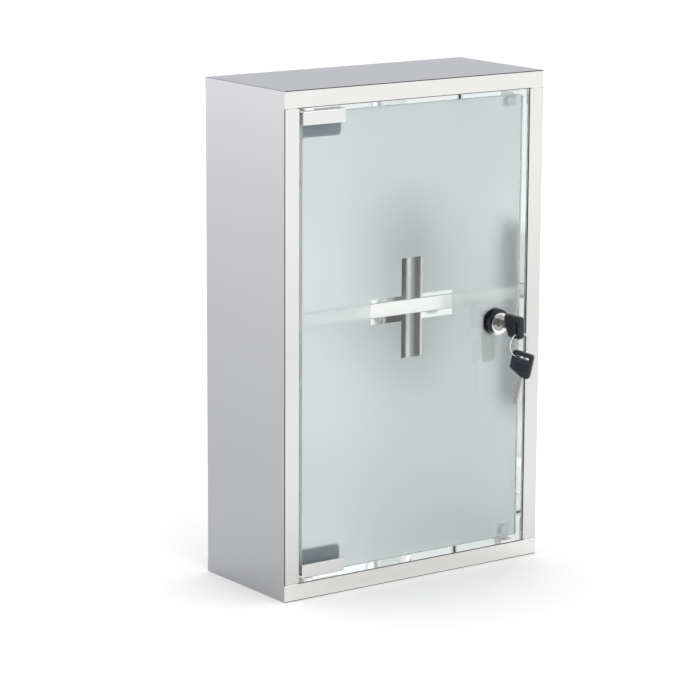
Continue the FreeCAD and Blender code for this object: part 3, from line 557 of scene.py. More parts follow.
def shell_steel(steel):
    """Folded sheet: satin outside, polished on the front frame, mirror-bright inside."""
    finish, tree, shader, place = new_finish("shell steel")
    across, deep, up = axes(tree, place)
    front, inside, seam, shaded_folds = shell_zones(tree, across, deep, up, steel.seam_width)
    cloudy = span(tree, grain(tree, place, (9, 9, 7), 5.0), -0.05, 0.05)
    outer = outside_tone(tree, up, front, cloudy, steel)
    colour = blend_colours(tree, inside, outer, inside_tone(tree, place, across, deep, up, steel))
    # Painted dark reflection along the folds.
    colour = blend_colours(tree, shaded_folds, colour, steel.bend_shade_colour)
    colour = blend_colours(tree, seam, colour, steel.seam_colour)
    lines = grain(tree, place, (2600, 2600, 14), 2.0)
    gloss = blend_numbers(tree, front, steel.satin_roughness, steel.front_roughness)
    gloss = blend_numbers(tree, inside, gloss, steel.inside_roughness)
    gloss = product(tree, gloss, span(tree, lines, 0.88, 1.12))
    brushed = product(tree, lines, opposite(tree, inside), opposite(tree, front))
    rolled = product(tree, grain(tree, place, (45, 45, 3), 1.0), inside, 40.0)
    fill(tree, shader, {"Metallic": 1.0, "Base Color": colour, "Roughness": gloss})
    relief(tree, shader, total(tree, brushed, rolled), BRUSHED_RELIEF)
    return finish


# Finishes of the glass and the floor

def clear_cross(tree, place, glass):
    """One within the two bars of the cross."""
    across, _, up = axes(tree, place)
    long_half = glass.cross_span / 2
    short_half = glass.cross_bar / 2
    bars = []
    for aside, above in ((long_half, short_half), (short_half, long_half)):
        within_width = inside_band(tree, across, 0.0, aside)
        within_height = inside_band(tree, up, glass.cross_level, above)
        bars.append(product(tree, within_width, within_height))
    return reckon(tree, "MAXIMUM", *bars)


def frosted_face(glass):
    """Etched rear face of the pane with a clear cross left in the etching."""
    unevenness, denser_by = 0.03, 0.06
    denser_from, densest_at = 230 * MM, 330 * MM
    finish, tree, shader, place = new_finish("etched glass")
    _, _, up = axes(tree, place)
    cross = clear_cross(tree, place, glass)
    cloud = grain(tree, place, (11, 11, 8), 4.0)
    sparkle = grain(tree, place, (2400, 2400, 2400), 2.0)
    milky = blend_colours(tree, cloud, toned(glass.frost_colour, 0.97), glass.frost_colour)
    gloss = product(tree, span(tree, sparkle, 0.9, 1.1), glass.frost_roughness)
    clearness = span(tree, cloud, glass.frost_clearness - unevenness, glass.frost_clearness + unevenness)
    clearness = less(tree, clearness, span(tree, up, 0.0, denser_by, denser_from, densest_at))
    fill(tree, shader, {
        "Base Color": blend_colours(tree, cross, milky, glass.cross_colour),
        "Roughness": blend_numbers(tree, cross, gloss, 0.01),
        "Transmission Weight": blend_numbers(tree, cross, clearness, 1.0),
        "IOR": 1.5,
        "Specular IOR Level": 0.0,
    })
    relief(tree, shader, product(tree, sparkle, opposite(tree, cross)), POLISHED_RELIEF)
    return finish


def clear_face(name, colour, roughness, clearness=1.0):
    """Polished glass with the faintest ripple and dust."""
    finish, tree, shader, place = new_finish(name)
    dust = grain(tree, place, (160, 160, 160), 5.0)
    fill(tree, shader, {
        "Base Color": blend_colours(tree, dust, toned(colour, 0.99), colour),
        "Roughness": span(tree, dust, roughness * 0.7, roughness * 1.3),
        "Transmission Weight": clearness,
        "IOR": 1.5,
    })
    return finish


def paper_floor(colour):
    """A matt pale floor with the faintest mottling."""
    finish, tree, shader, place = new_finish("pale floor")
    mottle = grain(tree, place, (3, 3, 3), 4.0)
    fill(tree, shader, {
        "Base Color": blend_colours(tree, mottle, toned(colour, 0.995), colour),
        "Roughness": 0.9,
        "Specular IOR Level": 0.1,
    })
    return finish


# Mesh helpers

def to_mesh(shape, name):
    """Close a bmesh with its faces pointing outwards and turn it into a mesh."""
    bmesh.ops.remove_doubles(shape, verts=shape.verts, dist=SEAM_JOIN)
    bmesh.ops.recalc_face_normals(shape, faces=shape.faces)
    mesh = bpy.data.meshes.new(name)
    shape.to_mesh(mesh)
    shape.free()
    return mesh


def line_meeting(first, second):
    """Where two endless lines cross, each given by two of its points."""
    start, along = first[0], first[1] - first[0]
    apart, other = second[0] - start, second[1] - second[0]
    share = (apart.x * other.y - apart.y * other.x) / (along.x * other.y - along.y * other.x)
    return start + along * share


def rounded_outline(corners, radius, inset=0.0, steps=6):
    """A convex outline, taken anticlockwise, with its sides moved in and its corners rounded."""
    count = len(corners)
    corners = [Vector(corner) for corner in corners]
    ways = [(corners[(i + 1) % count] - corners[i]).normalized() for i in range(count)]
    starts = [corner + inset * Vector((-way.y, way.x)) for corner, way in zip(corners, ways)]
    lines = [(start, start + way) for start, way in zip(starts, ways)]
    arc_radius = max(radius - inset, SMALLEST_ARC)
    points = []
    for i in range(count):
        before, after = ways[i - 1], ways[i]
        turn = math.atan2(before.x * after.y - before.y * after.x, before.dot(after))
        tangent = line_meeting(lines[i - 1], lines[i]) - before * (arc_radius * math.tan(turn / 2))
        centre = tangent + arc_radius * Vector((-before.y, before.x))
        arm = tangent - centre
        for step in range(steps + 1):
            points.append(centre + Matrix.Rotation(turn * step / steps, 2) @ arm)
    return points


def bar_corners(left, right, bottom, top):
    """A level rectangle, taken anticlockwise."""
    return [(left, bottom), (right, bottom), (right, top), (left, top)]


def ring_points(radius, count):
    """Points round a circle about the origin."""
    angles = [FULL_TURN * i / count for i in range(count)]
    return [Vector((radius * math.cos(angle), radius * math.sin(angle))) for angle in angles]


def rounded_rims(radius, near, far, steps):
    """Insets and levels of the rings that round both rims of a flat body by a quarter circle."""
    angles = [QUARTER_TURN * step / steps for step in range(steps + 1)]
    first = [(radius * (1 - math.sin(a)), near + radius * (1 - math.cos(a))) for a in angles]
    second = [(radius * (1 - math.cos(a)), far - radius * (1 - math.sin(a))) for a in angles]
    return first + second


def loft(shape, rings):
    """Join rings of equal length by four-sided faces."""
    for lower, upper in zip(rings, rings[1:]):
        for i in range(len(lower)):
            j = (i + 1) % len(lower)
            shape.faces.new((lower[i], lower[j], upper[j], upper[i]))


def cap(shape, loops):
    """Fill a flat face between an outer loop and the loops of its holes."""
    flat = [[vertex.co for vertex in loop] for loop in loops]
    corners = [vertex for loop in loops for vertex in loop]
    for triangle in tessellate_polygon(flat):
        shape.faces.new([corners[i] for i in triangle])


def turned_profile(profile, centre, count=128):
    """A closed profile of radii and depths turned about an axis along Y."""
    shape = bmesh.new()
    rings = []
    for radius, depth in profile:
        places = [(p.x + centre.x, centre.y + depth, p.y + centre.z) for p in ring_points(radius, count)]
        rings.append([shape.verts.new(place) for place in places])
    loft(shape, rings + [rings[0]])
    return to_mesh(shape, "turned")


def eased_edges(shape, width, segments=2, corner=0.0):
    """Join a shape's facets, round its edges along Y by the corner radius, then ease every sharp edge."""
    bmesh.ops.remove_doubles(shape, verts=shape.verts, dist=FACET_JOIN)
    bmesh.ops.dissolve_limit(shape, angle_limit=math.radians(0.5), verts=shape.verts, edges=shape.edges)
    if corner:
        deep = [e for e in shape.edges if abs((e.verts[0].co - e.verts[1].co).normalized().y) > 0.99]
        bmesh.ops.bevel(shape, geom=deep, offset=corner, segments=6, profile=0.5, affect="EDGES")
    sharp = [e for e in shape.edges if len(e.link_faces) == 2 and e.calc_face_angle() > math.radians(40)]
    bmesh.ops.bevel(
        shape, geom=sharp, offset=width, segments=segments, profile=0.5, affect="EDGES", clamp_overlap=True)
    return to_mesh(shape, "eased")


def refined_copy(node, width, segments=2, corner=0.0):
    """A node's own mesh with facets joined, sharp edges eased and, if wanted, its corners rounded."""
    shape = bmesh.new()
    shape.from_mesh(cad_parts[node].data)
    return eased_edges(shape, width, segments, corner)


def eased_off(mesh, gap):
    """Draw a thin layer's two faces in by a hair, so that a film of air is left on each side."""
    levels = [vertex.co.y for vertex in mesh.vertices]
    middle = (min(levels) + max(levels)) / 2
    for vertex in mesh.vertices:
        vertex.co.y += math.copysign(gap, middle - vertex.co.y)
    return mesh


def make_piece(name, mesh, finishes, body, node=None, sharp=math.radians(35)):
    """Put a finished mesh in as a piece that rides on a body, mostly in place of a plain node."""
    for finish in finishes:
        mesh.materials.append(finish)
    mesh.shade_smooth()
    mesh.set_sharp_from_angle(angle=sharp)
    piece = bpy.data.objects.new(name, mesh)
    bpy.context.scene.collection.objects.link(piece)
    flatten = piece.modifiers.new("flat faces stay flat", "WEIGHTED_NORMAL")
    flatten.keep_sharp = True
    graph = bpy.context.evaluated_depsgraph_get()
    smoothed = bpy.data.meshes.new_from_object(piece.evaluated_get(graph))
    piece.modifiers.remove(flatten)
    piece.data = smoothed
    bpy.data.meshes.remove(mesh)
    smoothed.name = name
    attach(piece, body)
    if node:
        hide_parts(node)


def make_eased(name, node, ease, finish, body):
    """Put a node's own shape in with its sharp edges eased."""
    make_piece(name, refined_copy(node, ease), [finish], body, node)


def dress_node(node, finish):
    """Give a carried-over node one finish."""
    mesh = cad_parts[node].data
    mesh.materials.clear()
    mesh.materials.append(finish)


# Geometry node helpers

SOCKETS = {bool: "NodeSocketBool", int: "NodeSocketInt", float: "NodeSocketFloat"}


def new_rule(name, sizes):
    """A geometry node tree with named sizes; returns the tree and its input sockets by name."""
    tree = bpy.data.node_groups.new(name, "GeometryNodeTree")
    tree.interface.new_socket("Geometry", in_out="INPUT", socket_type="NodeSocketGeometry")
    for label, size in sizes.items():
        socket = tree.interface.new_socket(label, in_out="INPUT", socket_type=SOCKETS[type(size)])
        socket.default_value = size
    tree.interface.new_socket("Geometry", in_out="OUTPUT", socket_type="NodeSocketGeometry")
    return tree, tree.nodes.new("NodeGroupInput").outputs


def end_rule(tree, geometry, finish):
    """Close a tree: instances made real, one material over all."""
    real = wire(tree, "GeometryNodeRealizeInstances", {0: geometry}).outputs[0]
    dressed = wire(tree, "GeometryNodeSetMaterial", {"Geometry": real, "Material": finish}).outputs[0]
    wire(tree, "NodeGroupOutput", {0: dressed})
    return tree


def grow(tree, sizes, start=None):
    """Run a tree with these sizes on a start mesh and return the plain mesh that it grows."""
    seed = start or bpy.data.meshes.new("seed")
    carrier = bpy.data.objects.new("carrier", seed)
    bpy.context.scene.collection.objects.link(carrier)
    modifier = carrier.modifiers.new("rule", "NODES")
    modifier.node_group = tree
    for item in tree.interface.items_tree:
        if item.item_type == "SOCKET" and item.in_out == "INPUT" and item.name in sizes:
            modifier[item.identifier] = sizes[item.name]
    graph = bpy.context.evaluated_depsgraph_get()
    mesh = bpy.data.meshes.new_from_object(carrier.evaluated_get(graph))
    carrier.modifiers.remove(modifier)
    bpy.data.objects.remove(carrier)
    bpy.data.meshes.remove(seed)
    return mesh


def points_mesh(places):
    """Loose points for a rule to set its copies on."""
    mesh = bpy.data.meshes.new("places")
    mesh.from_pydata([tuple(place) for place in places], [], [])
    return mesh


def moved(tree, geometry, shift):
    """Geometry shifted by a vector."""
    return wire(tree, "GeometryNodeTransform", {"Geometry": geometry, "Translation": shift}).outputs[0]


def joined(tree, *parts):
    """Several geometries as one."""
    gathered = wire(tree, "GeometryNodeJoinGeometry")
    for part in parts:
        tree.links.new(part, gathered.inputs[0])
    return gathered.outputs[0]


def round_bar(tree, path, radius, sides):
    """A round bar along a curve, closed at both ends."""
    section = wire(tree, "GeometryNodeCurvePrimitiveCircle", {
        "Resolution": sides, "Radius": radius,
    }, mode="RADIUS").outputs[0]
    inputs = {"Curve": path, "Profile Curve": section, "Fill Caps": True}
    return wire(tree, "GeometryNodeCurveToMesh", inputs).outputs[0]


def domed_heads_rule(finish):
    """Round heads with a dome, a shank and, if wanted, a slot, one on each point, all facing one way."""
    tree, sizes = new_rule("domed heads", {
        "Head Radius": SCREW_HEAD_RADIUS,
        "Head Height": SCREW_HEAD_HEIGHT,
        "Dome": SCREW_DOME,
        "Shank Radius": SCREW_HEAD_RADIUS / 2,
        "Shank Length": SCREW_HEAD_HEIGHT,
        "Slot Width": SCREW_SLOT_WIDTH,
        "Slot Depth": SCREW_SLOT_DEPTH,
        "Slotted": True,
        "Facing": 0.0,
    })
    radius, dome, shank_length = sizes["Head Radius"], sizes["Dome"], sizes["Shank Length"]
    wall = less(tree, sizes["Head Height"], dome)
    half_wall = product(tree, wall, 0.5)
    disc = wire(tree, "GeometryNodeMeshCylinder", {
        "Vertices": 40, "Side Segments": 1, "Fill Segments": 7, "Radius": radius, "Depth": wall,
    }).outputs["Mesh"]
    across, deep, up = axes(tree, tree.nodes.new("GeometryNodeInputPosition").outputs[0])
    square = total(tree, product(tree, across, across), product(tree, deep, deep))
    share = reckon(tree, "DIVIDE", square, product(tree, radius, radius))
    rise = product(tree, less(tree, 1.0, share), dome)
    on_top = reckon(tree, "GREATER_THAN", up, half_wall)
    domed = wire(tree, "GeometryNodeSetPosition", {
        "Geometry": moved(tree, disc, arrow(tree, z=half_wall)),
        "Offset": arrow(tree, z=product(tree, rise, on_top)),
    }).outputs[0]
    slot_depth = product(tree, sizes["Slot Depth"], 2.0)
    cutter = wire(tree, "GeometryNodeMeshCube", {
        "Size": arrow(tree, product(tree, radius, 3.0), sizes["Slot Width"], slot_depth),
    }).outputs[0]
    slotted = wire(tree, "GeometryNodeMeshBoolean", {
        0: domed, 1: moved(tree, cutter, arrow(tree, z=sizes["Head Height"])),
    }, operation="DIFFERENCE", solver="EXACT").outputs[0]
    head = wire(tree, "GeometryNodeSwitch", {
        "Switch": sizes["Slotted"], "False": domed, "True": slotted,
    }, input_type="GEOMETRY").outputs[0]
    shank = wire(tree, "GeometryNodeMeshCylinder", {
        "Vertices": 28, "Radius": sizes["Shank Radius"], "Depth": shank_length,
    }).outputs["Mesh"]
    sunk = moved(tree, shank, arrow(tree, z=product(tree, shank_length, -0.5)))
    copies = wire(tree, "GeometryNodeInstanceOnPoints", {
        "Points": sizes["Geometry"],
        "Instance": joined(tree, head, sunk),
        "Rotation": arrow(tree, sizes["Facing"]),
    }).outputs[0]
    return end_rule(tree, copies, finish)


def wire_ring_rule(finish):
    """A round wire bent into a ring whose ends nearly meet."""
    tree, sizes = new_rule("wire ring", {
        "Ring Radius": 9.5 * MM, "Wire Radius": 0.55 * MM, "Opening": math.radians(4),
    })
    bend = wire(tree, "GeometryNodeCurveArc", {
        "Resolution": 96,
        "Radius": sizes["Ring Radius"],
        "Start Angle": 0.0,
        "Sweep Angle": less(tree, FULL_TURN, sizes["Opening"]),
    }, mode="RADIUS").outputs[0]
    return end_rule(tree, round_bar(tree, bend, sizes["Wire Radius"], 16), finish)


def grip_lines_rule(finish):
    """Short raised lines side by side, each a half-sunk bar with round ends."""
    tree, sizes = new_rule("grip lines", {
        "Lines": 5, "Spacing": GRIP_SPACING, "Line Length": 8 * MM, "Line Radius": GRIP_RADIUS,
    })
    spacing, radius = sizes["Spacing"], sizes["Line Radius"]
    width = product(tree, less(tree, sizes["Lines"], 1.0), spacing)
    row = wire(tree, "GeometryNodeMeshLine", {
        "Count": sizes["Lines"],
        "Start Location": arrow(tree, product(tree, width, -0.5)),
        "Offset": arrow(tree, spacing),
    }, mode="OFFSET").outputs[0]
    half = product(tree, sizes["Line Length"], 0.5)
    ends = [arrow(tree, y=product(tree, half, side)) for side in (-1.0, 1.0)]
    middle = wire(tree, "GeometryNodeCurvePrimitiveLine", {
        "Start": ends[0], "End": ends[1],
    }, mode="POINTS").outputs[0]
    knob = wire(tree, "GeometryNodeMeshIcoSphere", {"Radius": radius, "Subdivisions": 2}).outputs[0]
    knobs = [moved(tree, knob, end) for end in ends]
    line = joined(tree, round_bar(tree, middle, radius, 12), *knobs)
    lines = wire(tree, "GeometryNodeInstanceOnPoints", {"Points": row, "Instance": line}).outputs[0]
    return end_rule(tree, lines, finish)


# Pieces

def glass_pane(glass):
    """The pane: rounded corners, polished arrises, and a round hole for the lock."""
    corners = bar_corners(glass_low.x, glass_high.x, glass_low.z, glass_high.z)
    hole_radius = glass.barrel_diameter / 2 + glass.hole_clearance
    shape = bmesh.new()
    outer, hole = [], []
    for inset, depth in rounded_rims(glass.arris, glass_low.y, glass_high.y, 3):
        outline = rounded_outline(corners, glass.corner_radius, inset)
        outer.append([shape.verts.new((p.x, depth, p.y)) for p in outline])
        bore = ring_points(hole_radius + inset, 72)
        hole.append([shape.verts.new((p.x + lock_centre.x, depth, p.y + lock_centre.z)) for p in bore])
    loft(shape, outer)
    loft(shape, hole)
    cap(shape, [outer[0], hole[0]])
    cap(shape, [outer[-1], hole[-1]])
    bmesh.ops.recalc_face_normals(shape, faces=shape.faces)
    for face in shape.faces:
        behind = face.calc_center_median().y > (glass_low.y + glass_high.y) / 2
        flat = abs(face.normal.y) > 0.99
        face.material_index = int(behind) if flat else 2
    return to_mesh(shape, "pane")


def rosette_profile(lock, glass):
    """Half section of the rosette: round shoulder, crest, dish, plug seat and barrel."""
    rim = (lock_high.x - lock_low.x) / 2
    crest = lock.crest_radius
    crest_height = glass_low.y - lock_low.y
    gasket_low, gasket_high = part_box("lock_gasket")
    foot = gasket_low.y - gasket_high.y
    wall_top = foot - lock.shoulder
    plug_low, plug_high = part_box("lock_plug")
    seat = (plug_high.x - plug_low.x) / 2 + PLUG_CLEARANCE
    barrel = glass.barrel_diameter / 2
    barrel_end = lock_high.y - glass_low.y
    steps = 8
    profile = [(rim, foot), (rim, wall_top)]
    for step in range(1, steps + 1):
        angle = QUARTER_TURN * step / steps
        out = crest + (rim - crest) * math.cos(angle)
        profile.append((out, wall_top - (crest_height + wall_top) * math.sin(angle)))
    for step in range(1, steps + 1):
        share = step / steps
        ease = (1 - math.cos(math.pi * share)) / 2
        profile.append((crest + (seat - crest) * share, -crest_height + lock.dish_depth * ease))
    return profile + [
        (seat, -PLUG_SEAT_DEPTH), (LOCK_BORE_RADIUS, -PLUG_SEAT_DEPTH), (LOCK_BORE_RADIUS, barrel_end),
        (barrel, barrel_end), (barrel, foot)]


def ring_at(shape, place, points, level):
    """A loop of corners at one level across a key's thickness."""
    return [shape.verts.new(place @ Vector((level, p.x, p.y))) for p in points]


def rounded_terraces(corners, radius, side, terraces):
    """Outlines and levels of a hollow on one side, from its mouth to its floor."""
    return [(rounded_outline(corners, radius, inset), side * level) for inset, level in terraces]


def hollowed_face(shape, place, rims, terraces):
    """Fill a face between its rims and a hollow that steps down by outlines and levels."""
    loops = [ring_at(shape, place, points, level) for points, level in terraces]
    loft(shape, loops)
    cap(shape, [*rims, loops[0]])
    cap(shape, [loops[-1]])


def head_corners(keys):
    """Outline of a key head, taken anticlockwise: blade end at nought, ring end at minus its length."""
    half = keys.head_width / 2
    return [
        (0, half),
        (-keys.head_length, half),
        (-keys.head_length, -half),
        (-keys.shoulder_along, -half),
        (0, keys.shoulder_across - half),
    ]


def key_grip(keys, place):
    """A moulded head: rounded edges, a ring slot through its far end and a thumb recess in each face."""
    shape = bmesh.new()
    half = keys.head_thickness / 2
    outline = head_corners(keys)
    outer = []
    for inset, level in rounded_rims(keys.edge_radius, -half, half, 4):
        points = rounded_outline(outline, keys.corner_radius, inset, 8)
        outer.append(ring_at(shape, place, points, level))
    loft(shape, outer)
    slot_place = keys.slot_inset - keys.head_length
    slot_radius = keys.slot_width / 2
    slot_half = keys.slot_length / 2
    slot = bar_corners(slot_place - slot_radius, slot_place + slot_radius, -slot_half, slot_half)
    hole = []
    for inset, level in rounded_rims(SLOT_LIP, -half, half, 4):
        points = rounded_outline(slot, slot_radius - SLOT_END_FLAT, -inset, 8)
        hole.append(ring_at(shape, place, points, level))
    loft(shape, hole)
    rim = keys.head_width / 2 - keys.recess_rim
    recess = bar_corners(slot_place + keys.slot_inset, -keys.shoulder_along, -rim, rim)
    terraces = (
        (0.0, half), (RECESS_EDGE_INSET, half - RECESS_EDGE_FALL),
        (RECESS_FLOOR_INSET, half - keys.recess_depth))
    for side, end in ((-1, 0), (1, -1)):
        rims = [outer[end], hole[end]]
        hollowed_face(shape, place, rims, rounded_terraces(recess, RECESS_CORNER, side, terraces))
    return to_mesh(shape, "grip")


def cut_blade(keys, place):
    """A blade with its cuts along one edge, a tapered tip and a milled groove in each face."""
    shape = bmesh.new()
    half = keys.blade_thickness / 2
    outline = [Vector(point) * MM for point in BLADE_OUTLINE]
    sides = [ring_at(shape, place, outline, -half), ring_at(shape, place, outline, half)]
    loft(shape, sides)
    groove = bar_corners(*[edge * MM for edge in BLADE_GROOVE])
    terraces = ((0.0, half), (GROOVE_SLOPE, half - keys.groove_depth))
    for side, rim in zip((-1, 1), sides):
        hollowed_face(shape, place, [rim], rounded_terraces(groove, GROOVE_CORNER, side, terraces))
    bmesh.ops.recalc_face_normals(shape, faces=shape.faces)
    return eased_edges(shape, BLADE_EASE, 1)


def grip_lines(keys, place, rule):
    """The raised lines in both recesses of a head as one mesh."""
    recess_start = 2 * keys.slot_inset - keys.head_length
    middle = (recess_start - keys.shoulder_along) / 2
    upright = Matrix.Rotation(QUARTER_TURN, 4, "Z") @ Matrix.Rotation(QUARTER_TURN, 4, "X")
    lines = bmesh.new()
    for side in (-1, 1):
        mesh = grow(rule, {
            "Lines": keys.grip_lines,
            "Spacing": GRIP_SPACING,
            "Line Length": keys.head_width - 2 * (keys.recess_rim + GRIP_END_ROOM),
            "Line Radius": GRIP_RADIUS,
        })
        level = side * (keys.head_thickness / 2 - keys.recess_depth)
        mesh.transform(place @ Matrix.Translation((level, middle, 0)) @ upright)
        lines.from_mesh(mesh)
        bpy.data.meshes.remove(mesh)
    mesh = bpy.data.meshes.new("lines")
    lines.to_mesh(mesh)
    lines.free()
    return mesh


def lock_key_place(keys):
    """Where the first key's head meets its blade, straight out from the lock."""
    return Matrix.Translation((lock_centre.x, glass_low.y - keys.stand_off, lock_centre.z))


def spare_key_place(keys):
    """The second key hangs by its slot on the ring's lowest point, turned to the front and leaning."""
    wire_radius = keys.wire_diameter / 2
    lowest = Vector((
        (ring_low.x + ring_high.x) / 2, (ring_low.y + ring_high.y) / 2, ring_low.z + wire_radius))
    drift = keys.head_thickness / 2 * math.tan(keys.spare_turn) + wire_radius / math.cos(keys.spare_turn)
    below_middle = drift + keys.slot_end_play - keys.slot_length / 2
    held = Vector((0, keys.slot_inset - keys.head_length, below_middle))
    turn = Matrix.Rotation(keys.spare_turn, 4, "Z")
    lean = Matrix.Rotation(keys.spare_lean - QUARTER_TURN, 4, "X")
    over = Matrix.Rotation(math.pi, 4, "Y")
    rotation = turn @ lean @ over
    return Matrix.Translation(lowest - rotation.to_3x3() @ held) @ rotation


# Stage: where each softbox stands, the point that it faces and the length of its side

KEY_SOFTBOX = ((-0.5, -1.7, 1.5), (0.0, 0.0, 0.1), 0.9)
FILL_SOFTBOX = ((-1.8, 0.5, 1.3), (0.0, 0.0, 0.2), 1.2)


def studio_room(strength):
    """A pale room with a dark zone high up on the left and a dimmer one straight ahead of the door."""
    room = bpy.data.worlds.new("studio")
    room.use_nodes = True
    tree = room.node_tree
    look = wire(tree, "ShaderNodeTexCoord").outputs["Generated"]
    tone = (1.0, 1.0, 1.0)
    for way, edge, core, shade in (
        (Vector((0, -1, 0)), 0.87, 0.97, (0.60, 0.60, 0.60)),
        (Vector((-0.50, -0.42, 0.76)).normalized(), 0.80, 0.95, (0.07, 0.07, 0.075)),
    ):
        toward = wire(tree, "ShaderNodeVectorMath", {0: look, 1: way}, operation="DOT_PRODUCT")
        zone = span(tree, toward.outputs["Value"], start=edge, end=core, ease="SMOOTHSTEP")
        tone = blend_colours(tree, zone, tone, shade)
    fill(tree, tree.nodes["Background"], {"Color": tone, "Strength": strength})
    return room


def softbox(name, power, place, aim, side):
    """A square lamp that faces the point it is aimed at."""
    lamp = bpy.data.lights.new(name, "AREA")
    lamp.energy = power
    lamp.size = side
    light = bpy.data.objects.new(name, lamp)
    light.location = place
    light.rotation_mode = "QUATERNION"
    light.rotation_quaternion = (Vector(aim) - Vector(place)).to_track_quat("-Z", "Y")
    return light


def photo_camera(stage):
    """The camera, turned right and down from straight ahead, then rolled about its line of sight."""
    lens = bpy.data.cameras.new("photo camera")
    lens.sensor_width = 36
    lens.lens = stage.camera_lens
    lens.clip_start = 0.05
    lens.clip_end = 60
    camera = bpy.data.objects.new("photo camera", lens)
    turn, fall, roll = stage.camera_azimuth, stage.camera_fall, stage.camera_roll
    ahead = Vector((math.sin(turn) * math.cos(fall), math.cos(turn) * math.cos(fall), -math.sin(fall)))
    right = Vector((math.cos(turn), -math.sin(turn), 0))
    up = right.cross(ahead)
    rolled_right = math.cos(roll) * right + math.sin(roll) * up
    rolled_up = math.cos(roll) * up - math.sin(roll) * right
    basis = Matrix((rolled_right, rolled_up, -ahead)).transposed().to_4x4()
    camera.matrix_world = Matrix.Translation(stage.camera_place) @ basis
    return camera


def pale_floor(stage):
    """The square that the cabinet stands on."""
    reach = stage.floor_reach
    mesh = bpy.data.meshes.new("floor")
    corners = bar_corners(-reach, reach, -reach, reach)
    mesh.from_pydata([(x, y, 0) for x, y in corners], [], [(0, 1, 2, 3)])
    mesh.materials.append(paper_floor(stage.floor_colour))
    return bpy.data.objects.new("floor", mesh)


# Operators

class CABINET_OT_stage(Operator):
    """Set up the pale floor, the soft lights and the camera"""
    bl_idname = "cabinet.stage"
    bl_label = "Stage"

    def execute(self, context):
        scene = context.scene
        stage = scene.cabinet_stage
        scene.view_settings.view_transform = "Standard"
        scene.cycles.max_bounces = 24
        scene.cycles.glossy_bounces = 16
        scene.cycles.transmission_bounces = 16
        scene.world = studio_room(stage.room_strength)
        floor = pale_floor(stage)
        camera = photo_camera(stage)
        for thing in (
            floor,
            softbox("key softbox", stage.key_power, *KEY_SOFTBOX),
            softbox("fill softbox", stage.fill_power, *FILL_SOFTBOX),
            camera,
        ):
            scene.collection.objects.link(thing)
        scene.camera = camera
        return {"FINISHED"}


class CABINET_OT_shell(Operator):
    """Give the folded panels their satin, polished and mirror finishes"""
    bl_idname = "cabinet.shell"
    bl_label = "Shell Finishes"

    def execute(self, context):
        shell = shell_steel(context.scene.cabinet_steel)
        for side in ("left_side", "right_side", "top", "bottom", "back"):
            dress_node(f"{side}_panel", shell)
        return {"FINISHED"}


class CABINET_OT_inside(Operator):
    """Finish the shelf, its angles, the door stops and their pale buttons"""
    bl_idname = "cabinet.inside"
    bl_label = "Shelf and Stops"

    def execute(self, context):
        along_x = (3, 900, 900)
        faces = [
            metal("polished sheet", (0.93, 0.925, 0.91), 0.1, along_x, POLISHED_RELIEF, 0.02),
            metal("brushed edge", (0.96, 0.945, 0.92), 0.3, along_x, POLISHED_RELIEF, 0.02),
            # Painted dark reflection: a dark tint on the shelf's folds that face up or down towards the
            # front.
            metal("painted fold shade", (0.06, 0.06, 0.062), 0.3, along_x, POLISHED_RELIEF, 0.02),
        ]
        for node in ("shelf", "left_shelf_support", "right_shelf_support"):
            mesh = refined_copy(node, SHEET_EASE)
            for face in mesh.polygons:
                if face.normal.y < -0.95:
                    face.material_index = 1
                elif face.normal.y < -0.2 and abs(face.normal.z) > 0.7:
                    face.material_index = 2
            make_piece(f"{node}_sheet", mesh, faces, "cabinet", node)
        plain = metal("stop steel", (0.75, 0.75, 0.75), 0.32, (1500, 60, 1500), BRUSHED_RELIEF)
        for end in ("upper", "lower"):
            make_eased(f"{end}_stop_angle", f"{end}_door_stop", STOP_EASE, plain, "cabinet")
        buffer = soft_goods("white buffer", (0.80, 0.80, 0.78), 0.5, 3200, MOULDED_RELIEF)
        low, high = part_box("door_stop_pads")
        radius = (high.x - low.x) / 2
        places = [(low.x + radius, high.y, z) for z in (low.z + radius, high.z - radius)]
        mesh = grow(domed_heads_rule(buffer), {
            "Head Radius": radius,
            "Head Height": high.y - low.y,
            "Dome": BUTTON_DOME,
            "Shank Radius": radius * 0.4,
            "Shank Length": BUTTON_ROOT,
            "Slotted": False,
            "Facing": QUARTER_TURN,
        }, points_mesh(places))
        make_piece("stop_buttons", mesh, [], "cabinet", "door_stop_pads")
        return {"FINISHED"}


class CABINET_OT_pane(Operator):
    """Make the etched glass pane with its clear cross"""
    bl_idname = "cabinet.pane"
    bl_label = "Glass Door"

    def execute(self, context):
        glass = context.scene.cabinet_glass
        finishes = [
            clear_face("glass front", (0.985, 1.0, 0.995), 0.02),
            frosted_face(glass),
            clear_face("glass edge", glass.edge_colour, 0.35, 0.8),
        ]
        make_piece("frosted_pane", glass_pane(glass), finishes, "door", "glass_door")
        return {"FINISHED"}


